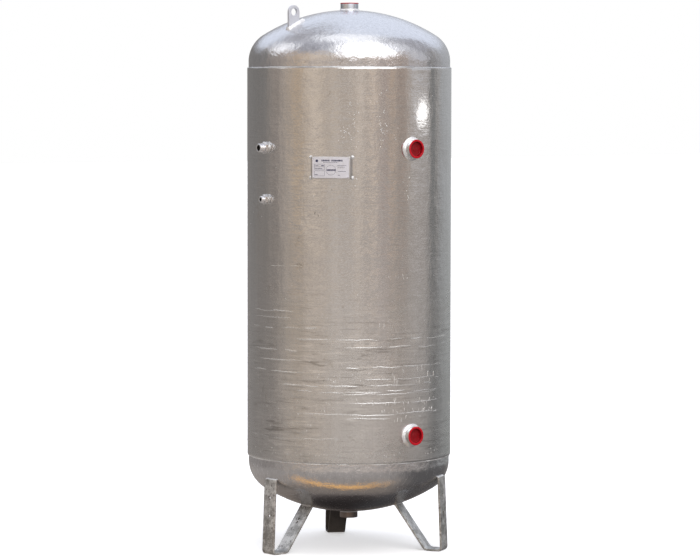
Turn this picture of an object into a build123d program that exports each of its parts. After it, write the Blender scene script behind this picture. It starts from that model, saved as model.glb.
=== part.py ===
from build123d import *
import os
from math import asin, cos, hypot, radians, sin

# Vertical air receiver, about 900 litres, hot-dip galvanised.
# A rolled shell closed by two dished heads that slip inside its ends, standing on three legs
# bent from flat bar. Two 2 inch side ports, a 2 inch top port and a 2 inch drain port are
# half couplings; three of them hold push-in transport plugs. Two smaller couplings hold hex
# nipples, one for the gauge and one for the pressure switch. A lifting lug stands on the top
# head, and the rating plate is riveted to a bracket that stands off the shell.
#
# Millimetres. Origin on the tank's axis at floor level, +Z up. Bearings are degrees in plan:
# 0 is the main-port side (-Y) and 90 is +X.

# Vessel
shell_outer_radius = 400.0
plate = 5.0
shell_bottom = 368.0
shell_length = 1510.0
head_gap = 0.25  # radial room between a head's flange and the shell's bore
head_insert = 20.0  # how far a flange reaches into the shell
head_flange = 28.0  # the straight flange left outside the shell
crown_share = 0.8  # crown and knuckle radii as shares of the head's outside diameter
knuckle_share = 0.154

# Bearings
main_bearing = 0.0
small_port_bearing = -89.3
lug_bearing = -87.0
plate_bearing = -46.8
leg_bearings = (-88.3, 31.7, 151.7)
seam_bearing = 110.0

# Heights above the floor
upper_main_height = 1570.0
lower_main_height = 472.0
gauge_height = 1572.0
switch_height = 1374.0
rating_plate_height = 1500.0

# 2 inch half couplings and their plugs
coupling_radius = 35.0
thread_radius = 28.33  # minor radius of a G 2 thread
mouth_radius = 30.5  # unthreaded lead-in at the mouth, where a plug sits
mouth_depth = 12.0
coupling_inside = 12.0  # reach inwards from the vessel's outer surface
main_stand_off = 25.0
top_stand_off = 24.5
drain_stand_off = 27.0
coupling_weld_leg = 9.0
apex_weld_leg = 7.0
slip = 0.3  # room between parts that slide or pass through each other
plug_radius = 36.0
plug_flange = 3.0
plug_gap = 0.3
cup_mouth_radius = 28.2
cup_floor_radius = 27.0
cup_depth = 13.0
cup_wall = 1.5

# Small couplings and nipples: coupling radius, minor thread radius, coupling stand-off,
# hex across flats, hex thickness, male thread radius, male thread length, bore radius
gauge_fitting = (20.0, 15.15, 6.0, 41.0, 12.0, 16.6, 22.0, 10.8)
switch_fitting = (17.0, 12.06, 6.0, 34.0, 12.0, 13.2, 13.0, 6.8)
small_weld_leg = 4.5
nipple_grip = 14.0  # how far a nipple reaches into its coupling
thread_lead_in = 1.2

# Legs, in the plane through the tank's axis: radius and height of the bar's centre line
bar_width = 70.0
bar_thickness = 8.0
leg_top = (387.0, 290.0)
leg_heel = (398.5, bar_thickness / 2)
leg_toe = (332.0, bar_thickness / 2)
leg_brace_end = (205.0, 180.0)
heel_bend = 11.0
toe_bend = 26.0
leg_hole_heights = (150.0, 220.0)
leg_hole_radius = 7.0
earth_hole_height = 117.0
earth_hole_spacing = 14.0
earth_hole_radius = 5.5
anchor_circle_radius = 366.0
anchor_hole_radius = 7.0
leg_weld_radius = 7.0

# Lifting lug
lug_centre_radius = 281.0
lug_eye_height = 2094.0
lug_half_width = 26.0
lug_thickness = 10.0
lug_eye_radius = 14.5
lug_weld_leg = 9.0

# Rating plate and its bracket
bracket_face_radius = 411.0
bracket_half_width = 73.5
bracket_foot_half_width = 80.0
bracket_height = 86.0
bracket_sheet = 2.0
bracket_bend = 3.0
rating_plate_size = (141.0, 79.0)
rating_plate_sheet = 1.0
rivet_radius = 2.6
rivet_rise = 1.5
rivet_inset = 4.5
bracket_weld_radius = 6.0

shell_top = shell_bottom + shell_length
shell_inner_radius = shell_outer_radius - plate
head_radius = shell_inner_radius - head_gap
crown_radius = crown_share * 2 * head_radius
knuckle_radius = knuckle_share * 2 * head_radius
crown_angle = asin((head_radius - knuckle_radius) / (crown_radius - knuckle_radius))
dish_height = crown_radius - (crown_radius - knuckle_radius) * cos(crown_angle)
top_apex = shell_top + head_flange + dish_height
bottom_apex = shell_bottom - head_flange - dish_height


def outward(bearing):
    """The level direction that a bearing points in."""
    return Vector(sin(radians(bearing)), -cos(radians(bearing)), 0)


def port_plane(bearing, radius, height):
    """A plane on the shell side of a port: its normal points outwards and its Y is up."""
    out = outward(bearing)
    return Plane(origin=out * radius + Vector(0, 0, height), x_dir=Vector(0, 0, 1).cross(out), z_dir=out)


def section_plane(bearing):
    """The upright plane through the tank's axis: X is the distance out and Y the height."""
    out = outward(bearing)
    return Plane(origin=(0, 0, 0), x_dir=out, z_dir=out.cross(Vector(0, 0, 1)))


def plan_plane(bearing, height):
    """A level plane whose Y points outwards along the bearing."""
    out = outward(bearing)
    return Plane(origin=(0, 0, height), x_dir=out.cross(Vector(0, 0, 1)), z_dir=(0, 0, 1))


def rod(radius, low, high):
    """A round bar along Z between two heights."""
    return Pos(0, 0, (low + high) / 2) * Cylinder(radius, high - low)


def turned(points):
    """The solid that a closed outline of (radius, height) points makes about Z."""
    outline = Polyline(*[(r, 0, h) for r, h in points], close=True)
    return revolve(make_face(outline), axis=Axis.Z)


def filled_vessel(growth=0.0):
    """The whole vessel as one filled solid, grown outwards; other pieces are trimmed to it."""
    length = shell_length + 2 * growth
    middle = rod(shell_outer_radius + growth, shell_bottom - growth, shell_bottom - growth + length)
    return middle + Pos(0, 0, shell_top) * dome(-growth) + upside_down(dome(-growth))


def dome(inset):
    """A filled head, its outside moved in by inset. Height 0 is where it leaves the shell."""
    knuckle = knuckle_radius - inset
    crown = crown_radius - inset
    crown_centre = head_flange + dish_height - crown_radius
    half_angle = radians(45) + crown_angle / 2
    knuckle_middle = (
        head_radius - knuckle_radius + knuckle * sin(half_angle),
        0,
        head_flange + knuckle * cos(half_angle),
    )
    shoulder = (crown * sin(crown_angle), 0, crown_centre + crown * cos(crown_angle))
    crown_middle = (crown * sin(crown_angle / 2), 0, crown_centre + crown * cos(crown_angle / 2))
    rim = (head_radius - inset, 0, -head_insert)
    knuckle_start = (head_radius - inset, 0, head_flange)
    apex = (0, 0, crown_centre + crown)
    foot = (0, 0, -head_insert)
    outline = (
        Line(foot, rim)
        + Line(rim, knuckle_start)
        + ThreePointArc(knuckle_start, knuckle_middle, shoulder)
        + ThreePointArc(shoulder, crown_middle, apex)
        + Line(apex, foot)
    )
    return revolve(make_face(outline), axis=Axis.Z)


def upside_down(shape):
    """A top-head shape turned over and set under the shell."""
    return Pos(0, 0, shell_bottom) * mirror(shape, about=Plane.XY)


def head():
    """One dished head with its hole for a 2 inch coupling."""
    return dome(0) - dome(plate) - rod(coupling_radius + slip, 0, top_apex)


def shell():
    """The rolled shell with a hole for each coupling."""
    tube = rod(shell_outer_radius, shell_bottom, shell_top)
    tube -= rod(shell_inner_radius, shell_bottom, shell_top)
    for bearing, height, radius in side_ports():
        drill = rod(radius + slip, shell_inner_radius - 20, shell_outer_radius + 20)
        tube -= port_plane(bearing, 0, height) * drill
    return tube


def side_ports():
    """Bearing, height and coupling radius of every port in the shell."""
    return (
        (main_bearing, upper_main_height, coupling_radius),
        (main_bearing, lower_main_height, coupling_radius),
        (small_port_bearing, gauge_height, gauge_fitting[0]),
        (small_port_bearing, switch_height, switch_fitting[0]),
    )


def girth_weld():
    """The fillet that closes the step between the shell's end and the head."""
    bead = [
        (head_radius, 0),
        (shell_outer_radius, 0),
        (shell_outer_radius - 0.4, 2.4),
        (head_radius + 2.6, 5.4),
        (head_radius, 7.0),
    ]
    return turned(bead)


def seam_weld():
    """The long seam's cap, a shallow bead proud of the shell."""
    bead_radius, rise = 9.0, 1.8
    centre = outward(seam_bearing) * (shell_outer_radius + rise - bead_radius)
    bar = Pos(centre.X, centre.Y, 0) * rod(bead_radius, shell_bottom, shell_top)
    return bar - rod(shell_outer_radius, shell_bottom, shell_top)


def coupling(stand_off):
    """A 2 inch half coupling along Z; height 0 is the vessel's outer surface."""
    body = rod(coupling_radius, -coupling_inside, stand_off)
    body = chamfer(body.edges().filter_by(GeomType.CIRCLE), 1.0)
    body -= rod(thread_radius, -coupling_inside, stand_off)
    return body - rod(mouth_radius, stand_off - mouth_depth, stand_off)


def weld_ring(radius, leg):
    """A fillet around a coupling, still to be trimmed to the shell's surface."""
    toe = radius + 1.35 * leg
    return turned([(radius, -8), (radius, leg), (toe, -0.35 * leg), (toe, -8)])


def apex_weld_ring():
    """The fillet around a coupling in the middle of a head, its underside on the crown."""
    reach = 0.6 * apex_weld_leg
    radii = (coupling_radius, coupling_radius + reach / 2, coupling_radius + reach)
    inner, middle, toe = [(r, 0, (crown_radius**2 - r**2) ** 0.5 - crown_radius) for r in radii]
    shoulder = (coupling_radius, 0, apex_weld_leg)
    outline = Line(inner, shoulder) + Line(shoulder, toe) + ThreePointArc(toe, middle, inner)
    return revolve(make_face(outline), axis=Axis.Z)


def plug(stand_off):
    """A push-in plug: a flange on the coupling's face and a cup in its mouth."""
    face = stand_off + plug_gap
    top = face + plug_flange
    skirt = mouth_radius - slip
    body = turned(
        [
            (0, top - cup_depth - cup_wall),
            (skirt - 1, top - cup_depth - cup_wall),
            (skirt, top - cup_depth),
            (skirt, face),
            (plug_radius - 0.5, face),
            (plug_radius, face + 0.8),
            (plug_radius, top - 0.8),
            (plug_radius - 0.8, top),
            (cup_mouth_radius + 1, top),
            (cup_mouth_radius, top - 1),
            (cup_floor_radius, top - cup_depth + 1),
            (cup_floor_radius - 1, top - cup_depth),
            (0, top - cup_depth),
        ]
    )
    return body


def small_coupling(fitting):
    """The welded-in coupling of a small port, along Z from the shell's surface."""
    radius, thread, stand_off = fitting[:3]
    body = rod(radius, -coupling_inside, stand_off)
    body = chamfer(body.edges().filter_by(GeomType.CIRCLE), 0.8)
    return body - rod(thread, -coupling_inside, stand_off)


def nipple(fitting):
    """A hex nipple screwed into a small coupling."""
    _, thread, stand_off, across_flats, hex_thickness, male_radius, male_length, bore = fitting
    hex_low = stand_off + plug_gap
    hex_high = hex_low + hex_thickness
    hexagon = extrude(RegularPolygon(across_flats / 2, 6, major_radius=False, rotation=30), hex_thickness)
    corner_radius = across_flats / 2 / cos(radians(30))
    bevel = turned(
        [
            (0, hex_low),
            (corner_radius - 1.6, hex_low),
            (corner_radius, hex_low + 1.0),
            (corner_radius, hex_high - 1.0),
            (corner_radius - 1.6, hex_high),
            (0, hex_high),
        ]
    )
    body = (Pos(0, 0, hex_low) * hexagon) & bevel
    body += rod(thread - 0.15, stand_off - nipple_grip, hex_low + 1)
    end = hex_high + male_length
    body += turned(
        [
            (0, hex_high - 1),
            (male_radius, hex_high - 1),
            (male_radius, end - thread_lead_in),
            (male_radius - thread_lead_in, end),
            (0, end),
        ]
    )
    return body - rod(bore, stand_off - nipple_grip, end)


def offset_path(points, distance):
    """A polyline moved to its left by a distance, with mitred corners."""
    moved = []
    for i, point in enumerate(points):
        before = points[max(i - 1, 0)]
        after = points[min(i + 1, len(points) - 1)]
        normals = []
        for start, end in ((before, point), (point, after)):
            run = hypot(end[0] - start[0], end[1] - start[1])
            if run:
                normals.append(((start[1] - end[1]) / run, (end[0] - start[0]) / run))
        nx = sum(n[0] for n in normals)
        ny = sum(n[1] for n in normals)
        scale = distance * len(normals) / (nx * nx + ny * ny)
        moved.append((point[0] + nx * scale, point[1] + ny * scale))
    return moved


def bent_bar(points, radii, thickness):
    """The outline of a flat bar bent to the right at each corner of its centre line."""
    left = offset_path(points, thickness / 2)
    right = offset_path(points, -thickness / 2)
    outer = FilletPolyline(*left, radius=[r + thickness / 2 for r in radii])
    inner = FilletPolyline(*right, radius=[r - thickness / 2 for r in radii])
    return make_face(outer + Line(left[-1], right[-1]) + inner + Line(right[0], left[0]))


def brace_direction():
    """Unit vector up a leg's brace, as (outwards, upwards)."""
    run = hypot(leg_brace_end[0] - leg_toe[0], leg_brace_end[1] - leg_toe[1])
    return ((leg_brace_end[0] - leg_toe[0]) / run, (leg_brace_end[1] - leg_toe[1]) / run)


def leg(bearing, earthed):
    """One leg: an upright, a flat foot and a brace, bent from one length of flat bar."""
    plane = section_plane(bearing)
    out, up = brace_direction()
    past_end = (leg_brace_end[0] + 30 * out, leg_brace_end[1] + 30 * up)
    profile = bent_bar([leg_top, leg_heel, leg_toe, past_end], [heel_bend, toe_bend], bar_thickness)
    bar = extrude(plane * profile, bar_width / 2, both=True)
    bar -= filled_vessel(0.4)
    for height in leg_hole_heights:
        bar -= port_plane(bearing, 0, height) * rod(leg_hole_radius, 370, 420)
    anchor = outward(bearing) * anchor_circle_radius
    bar -= Pos(anchor.X, anchor.Y, 0) * rod(anchor_hole_radius, -1, bar_thickness + 1)
    if earthed:
        bar -= earth_holes(bearing)
    return bar


def earth_holes(bearing):
    """The two small holes, side by side up the brace, for an earthing strap."""
    out, up = brace_direction()
    run = (earth_hole_height - leg_toe[1]) / up
    holes = None
    for step in (-0.5, 0.5):
        along = run + step * earth_hole_spacing
        centre = (leg_toe[0] + along * out, leg_toe[1] + along * up)
        plane = Plane(
            origin=section_plane(bearing).from_local_coords(centre),
            z_dir=outward(bearing) * up + Vector(0, 0, 1) * -out,
        )
        hole = plane * rod(earth_hole_radius, -bar_thickness, bar_thickness)
        holes = hole if holes is None else holes + hole
    return holes


def leg_welds(bearing, leg_solid, vessel):
    """A bead along the top of the upright and one under each side of the brace's end."""
    plane = section_plane(bearing)
    out, up = brace_direction()
    foot_of_brace = (leg_brace_end[0] - 4 * out, leg_brace_end[1] - 4 * up)
    above = (foot_of_brace[0] + 7 * up, foot_of_brace[1] - 7 * out)
    below = (foot_of_brace[0] - 7 * up + 3, foot_of_brace[1] + 7 * out + 3)
    top = (leg_top[0] - 3, leg_top[1] - 0.5)
    beads = []
    for centre in (top, above, below):
        bar = extrude(plane * (Pos(*centre) * Circle(leg_weld_radius)), bar_width / 2 - 1, both=True)
        beads += (bar - vessel - leg_solid).solids().sort_by(SortBy.VOLUME)[-1:]
    return Compound(children=beads)


def lug_outline():
    """The eye plate's outline in the upright plane: straight sides and a round top."""
    foot = lug_eye_height - 90
    sides = Polyline(
        (lug_centre_radius - lug_half_width, lug_eye_height),
        (lug_centre_radius - lug_half_width, foot),
        (lug_centre_radius + lug_half_width, foot),
        (lug_centre_radius + lug_half_width, lug_eye_height),
    )
    top = ThreePointArc(sides @ 1, (lug_centre_radius, lug_eye_height + lug_half_width), sides @ 0)
    return make_face(sides + top)


def lifting_lug(vessel):
    """The eye plate, cut to sit on the top head."""
    eye = Pos(lug_centre_radius, lug_eye_height) * Circle(lug_eye_radius)
    outline = section_plane(lug_bearing) * (lug_outline() - eye)
    return extrude(outline, lug_thickness / 2, both=True) - vessel


def lug_weld(lug, vessel):
    """The fillet all round the lug's foot."""
    slope = asin(lug_centre_radius / crown_radius)
    out = outward(lug_bearing)
    foot_height = top_apex - crown_radius + crown_radius * cos(slope)
    plane = Plane(
        origin=out * lug_centre_radius + Vector(0, 0, foot_height),
        x_dir=out.cross(Vector(0, 0, 1)),
        z_dir=out * sin(slope) + Vector(0, 0, cos(slope)),
    )
    length = 2 * lug_half_width / cos(slope)
    base = plane.offset(-3) * Rectangle(lug_thickness + 2 * lug_weld_leg, length + 2 * lug_weld_leg)
    top = plane.offset(lug_weld_leg) * Rectangle(lug_thickness, length)
    return loft([base, top]) - vessel - lug


def rating_bracket():
    """A shallow hat section whose sides slope back to the shell."""
    face = bracket_face_radius - bracket_sheet / 2
    foot = shell_outer_radius - 20
    slope = (bracket_foot_half_width - bracket_half_width) / (bracket_face_radius - shell_inner_radius)
    foot_half_width = bracket_half_width + slope * (face - foot)
    corners = [
        (-foot_half_width, foot),
        (-bracket_half_width, face),
        (bracket_half_width, face),
        (foot_half_width, foot),
    ]
    profile = bent_bar(corners, [bracket_bend, bracket_bend], bracket_sheet)
    plane = plan_plane(plate_bearing, rating_plate_height)
    hat = extrude(plane * profile, bracket_height / 2, both=True)
    return hat - rod(shell_outer_radius + 0.05, shell_bottom, shell_top)


def bracket_welds(bracket):
    """A blob at each corner of the bracket, on the shell."""
    plane = plan_plane(plate_bearing, rating_plate_height)
    side = bracket_foot_half_width + 1.5
    out = (shell_outer_radius**2 - side**2) ** 0.5
    blobs = []
    for x in (-side, side):
        for z in (-1, 1):
            centre = plane.from_local_coords((x, out, z * (bracket_height / 2 - 4)))
            blob = Pos(centre.X, centre.Y, centre.Z) * Sphere(bracket_weld_radius)
            blob = blob - rod(shell_outer_radius, shell_bottom, shell_top) - bracket
            blobs += blob.solids().sort_by(SortBy.VOLUME)[-1:]
    return Compound(children=blobs)


def rating_plate_plane():
    """The plane of the bracket's face, with its Y up."""
    return port_plane(plate_bearing, bracket_face_radius + 0.02, rating_plate_height)


def rivet_places():
    """The four rivet centres on the rating plate."""
    width, height = rating_plate_size
    return GridLocations(width - 2 * rivet_inset, height - 2 * rivet_inset, 2, 2)


def rating_plate():
    """The thin plate with rounded corners and its four rivet holes."""
    holes = [place * Circle(rivet_radius * 0.6) for place in rivet_places()]
    outline = RectangleRounded(*rating_plate_size, 3) - holes
    return extrude(rating_plate_plane() * outline, rating_plate_sheet)


def rivets():
    """Four domed rivet heads."""
    dome_radius = (rivet_radius**2 + rivet_rise**2) / (2 * rivet_rise)
    ball = Pos(0, 0, rivet_rise - dome_radius) * Sphere(dome_radius)
    rivet = ball - Pos(0, 0, -dome_radius) * Box(3 * dome_radius, 3 * dome_radius, 2 * dome_radius)
    plane = rating_plate_plane().offset(rating_plate_sheet + 0.02)
    return Compound(children=[plane * place * rivet for place in rivet_places()])


def build():
    """Every sub-part by node name."""
    vessel = filled_vessel()
    ports = {
        "upper_main": (port_plane(main_bearing, shell_outer_radius, upper_main_height), main_stand_off),
        "lower_main": (port_plane(main_bearing, shell_outer_radius, lower_main_height), main_stand_off),
        "top": (Plane(origin=(0, 0, top_apex), z_dir=(0, 0, 1)), top_stand_off),
        "drain": (Plane(origin=(0, 0, bottom_apex), z_dir=(0, 0, -1)), drain_stand_off),
    }
    parts = {
        "shell": shell(),
        "shell_seam_weld": seam_weld(),
        "top_head": Pos(0, 0, shell_top) * head(),
        "bottom_head": upside_down(head()),
        "top_girth_weld": Pos(0, 0, shell_top) * girth_weld(),
        "bottom_girth_weld": upside_down(girth_weld()),
    }
    for name, (plane, stand_off) in ports.items():
        parts[f"{name}_coupling"] = plane * coupling(stand_off)
        if name in ("top", "drain"):
            parts[f"{name}_coupling_weld"] = plane * apex_weld_ring()
        else:
            parts[f"{name}_coupling_weld"] = plane * weld_ring(coupling_radius, coupling_weld_leg) - vessel
        if name != "drain":
            parts[f"{name}_plug"] = plane * plug(stand_off)
    for name, height, fitting in (
        ("gauge", gauge_height, gauge_fitting),
        ("switch", switch_height, switch_fitting),
    ):
        plane = port_plane(small_port_bearing, shell_outer_radius, height)
        parts[f"{name}_coupling"] = plane * small_coupling(fitting)
        parts[f"{name}_coupling_weld"] = plane * weld_ring(fitting[0], small_weld_leg) - vessel
        parts[f"{name}_nipple"] = plane * nipple(fitting)
    for number, bearing in enumerate(leg_bearings, 1):
        solid = leg(bearing, earthed=number == 1)
        parts[f"leg_{number}"] = solid
        parts[f"leg_{number}_welds"] = leg_welds(bearing, solid, vessel)
    parts["lifting_lug"] = lifting_lug(filled_vessel(0.3))
    parts["lifting_lug_weld"] = lug_weld(parts["lifting_lug"], vessel)
    parts["rating_bracket"] = rating_bracket()
    parts["rating_bracket_welds"] = bracket_welds(parts["rating_bracket"])
    parts["rating_plate"] = rating_plate()
    parts["rating_plate_rivets"] = rivets()
    return parts


os.makedirs("parts", exist_ok=True)
for name, shape in build().items():
    export_step(shape, f"parts/{name}.step")
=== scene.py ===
import math
import random

import bmesh
import bpy
from mathutils import Matrix, Vector, noise


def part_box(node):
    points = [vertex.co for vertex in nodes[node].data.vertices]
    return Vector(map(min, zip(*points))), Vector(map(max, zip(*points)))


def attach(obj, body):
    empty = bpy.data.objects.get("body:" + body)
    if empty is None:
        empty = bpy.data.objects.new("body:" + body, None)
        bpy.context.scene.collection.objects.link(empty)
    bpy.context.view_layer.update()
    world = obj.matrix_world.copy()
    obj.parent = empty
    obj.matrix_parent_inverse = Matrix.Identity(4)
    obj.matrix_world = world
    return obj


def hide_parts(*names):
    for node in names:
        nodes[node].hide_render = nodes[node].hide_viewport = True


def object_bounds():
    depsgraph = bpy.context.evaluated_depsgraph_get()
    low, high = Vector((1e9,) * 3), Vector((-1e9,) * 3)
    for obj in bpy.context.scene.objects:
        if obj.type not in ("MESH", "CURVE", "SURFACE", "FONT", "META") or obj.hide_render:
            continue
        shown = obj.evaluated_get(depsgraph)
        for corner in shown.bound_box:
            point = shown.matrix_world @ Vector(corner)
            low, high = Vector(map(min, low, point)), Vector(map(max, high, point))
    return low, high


# The looks of an upright galvanised air receiver. Metres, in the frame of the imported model:
# origin on the tank's axis at floor level, +Z up, -Y towards the main side ports. Places and
# sizes come from the boxes of the CAD nodes; the constants below are finishing details only.

MM = 0.001

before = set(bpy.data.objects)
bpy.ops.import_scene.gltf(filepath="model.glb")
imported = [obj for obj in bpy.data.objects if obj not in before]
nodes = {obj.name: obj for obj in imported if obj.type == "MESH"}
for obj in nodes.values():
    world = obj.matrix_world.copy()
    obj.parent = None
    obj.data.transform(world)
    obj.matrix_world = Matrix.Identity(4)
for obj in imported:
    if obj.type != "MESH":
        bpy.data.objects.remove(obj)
cad_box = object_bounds()


# ---------------------------------------------------------------------------------------------
# Measures taken from the frame
# ---------------------------------------------------------------------------------------------

shell_low, shell_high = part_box("shell")
shell_radius = shell_high.y
head_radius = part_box("top_head")[1].y
head_flange = 28 * MM
head_insert = shell_high.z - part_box("top_head")[0].z
plate = 5 * MM
crown_radius = 0.8 * 2 * head_radius
knuckle_radius = 0.154 * 2 * head_radius
crown_angle = math.asin((head_radius - knuckle_radius) / (crown_radius - knuckle_radius))
crown_drop = (crown_radius - knuckle_radius) * math.cos(crown_angle)
apex_rise = head_flange + crown_radius - crown_drop
top_apex = shell_high.z + apex_rise
bottom_apex = shell_low.z - apex_rise


def middle(node):
    """The centre of a CAD node's box."""
    low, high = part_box(node)
    return (low + high) / 2


def bearing_of(node):
    """The bearing of a CAD node about the tank's axis, in radians: 0 is -Y and a quarter turn is +X."""
    centre = middle(node)
    return math.atan2(centre.x, -centre.y)


def outward(bearing):
    """The level unit vector that a bearing points in."""
    return Vector((math.sin(bearing), -math.cos(bearing), 0))


def port_place(bearing, height, radius=shell_radius):
    """The frame of a side port: local Z points outwards, Y up, with its origin on the shell."""
    out = outward(bearing)
    side = Vector((0, 0, 1)).cross(out)
    origin = out * radius + Vector((0, 0, height))
    return Matrix.Translation(origin) @ Matrix((side, Vector((0, 0, 1)), out)).transposed().to_4x4()


def radial_place(bearing):
    """The upright plane through the axis: local X is the distance out, Y the height, Z sideways."""
    out = outward(bearing)
    up = Vector((0, 0, 1))
    return Matrix((out, up, out.cross(up))).transposed().to_4x4()


# ---------------------------------------------------------------------------------------------
# Camera, light and stage
# ---------------------------------------------------------------------------------------------

VIEW_BEARING = math.radians(-37)
CAMERA_DISTANCE = 11.6
CAMERA_HEIGHT = 1.7565
CAMERA_PITCH = math.radians(-3.489)
CAMERA_YAW = math.radians(-0.018)
CAMERA_ROLL = math.radians(0.079)
CAMERA_LENS = 151.97


def add_camera():
    """A long lens at eye height, a little to the left of the main ports."""
    data = bpy.data.cameras.new("camera")
    data.lens = CAMERA_LENS
    data.sensor_width = 36
    camera = bpy.data.objects.new("camera", data)
    bpy.context.scene.collection.objects.link(camera)
    camera.location = outward(VIEW_BEARING) * CAMERA_DISTANCE + Vector((0, 0, CAMERA_HEIGHT))
    heading = Matrix.Rotation(VIEW_BEARING + CAMERA_YAW, 4, "Z")
    turn = heading @ Matrix.Rotation(math.pi / 2 + CAMERA_PITCH, 4, "X")
    camera.rotation_euler = (turn @ Matrix.Rotation(CAMERA_ROLL, 4, "Z")).to_euler()
    bpy.context.scene.camera = camera


class Tree:
    """Short forms for building a node tree."""

    def __init__(self, owner):
        owner.use_nodes = True
        self.tree = owner.node_tree
        self.tree.nodes.clear()

    def add(self, kind, **settings):
        node = self.tree.nodes.new(kind)
        for name, value in settings.items():
            setattr(node, name, value)
        return node

    def put(self, socket, value):
        if isinstance(value, bpy.types.NodeSocket):
            self.tree.links.new(value, socket)
        else:
            socket.default_value = value

    def math(self, operation, *values):
        node = self.add("ShaderNodeMath", operation=operation)
        for socket, value in zip(node.inputs, values):
            self.put(socket, value)
        return node.outputs[0]

    def times(self, first, second):
        return self.math("MULTIPLY", first, second)

    def plus(self, first, second):
        return self.math("ADD", first, second)

    def remap(self, value, low, high, to_low=0.0, to_high=1.0, smooth=True):
        node = self.add("ShaderNodeMapRange")
        node.interpolation_type = "SMOOTHSTEP" if smooth else "LINEAR"
        for socket, given in zip(node.inputs[:5], (value, low, high, to_low, to_high)):
            self.put(socket, given)
        return node.outputs[0]

    def mix(self, factor, first, second):
        node = self.add("ShaderNodeMix", data_type="RGBA")
        self.put(node.inputs[0], factor)
        for socket, value in ((node.inputs[6], first), (node.inputs[7], second)):
            self.put(socket, value if isinstance(value, bpy.types.NodeSocket) else (*value, 1))
        return node.outputs[2]

    def layer(self, colour, tint, value, low, high, share=1.0):
        """A colour with a tint laid over it where a value passes from low to high."""
        return self.mix(self.times(self.remap(value, low, high), share), colour, tint)

    def place(self, stretch=(1, 1, 1)):
        coordinates = self.add("ShaderNodeTexCoord")
        mapping = self.add("ShaderNodeMapping")
        mapping.inputs["Scale"].default_value = stretch
        self.put(mapping.inputs["Vector"], coordinates.outputs["Object"])
        return mapping.outputs[0]

    def noise(self, scale, detail=3.0, rough=0.5, stretch=(1, 1, 1), distortion=0.0):
        node = self.add("ShaderNodeTexNoise")
        self.put(node.inputs["Vector"], self.place(stretch))
        node.inputs["Scale"].default_value = scale
        node.inputs["Detail"].default_value = detail
        node.inputs["Roughness"].default_value = rough
        node.inputs["Distortion"].default_value = distortion
        return node.outputs[0]

    def blend(self, share, first, second):
        """A shader between two others."""
        node = self.add("ShaderNodeMixShader")
        for socket, value in zip(node.inputs, (share, first, second)):
            self.put(socket, value)
        return node.outputs[0]

    def either(self, ray, first, second):
        """The first shader, or the second for rays of the named kind."""
        return self.blend(self.add("ShaderNodeLightPath").outputs[ray], first, second)

    def glow(self, colour):
        """An emission shader of a colour."""
        node = self.add("ShaderNodeEmission")
        self.put(node.inputs[0], colour)
        return node.outputs[0]

    def height(self):
        """The height above the floor, in metres."""
        split = self.add("ShaderNodeSeparateXYZ")
        self.put(split.inputs[0], self.place())
        return split.outputs[2]

    def bump(self, height, strength, distance, normal=None):
        node = self.add("ShaderNodeBump")
        self.put(node.inputs["Strength"], strength)
        node.inputs["Distance"].default_value = distance
        self.put(node.inputs["Height"], height)
        if normal is not None:
            self.put(node.inputs["Normal"], normal)
        return node.outputs[0]


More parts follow.
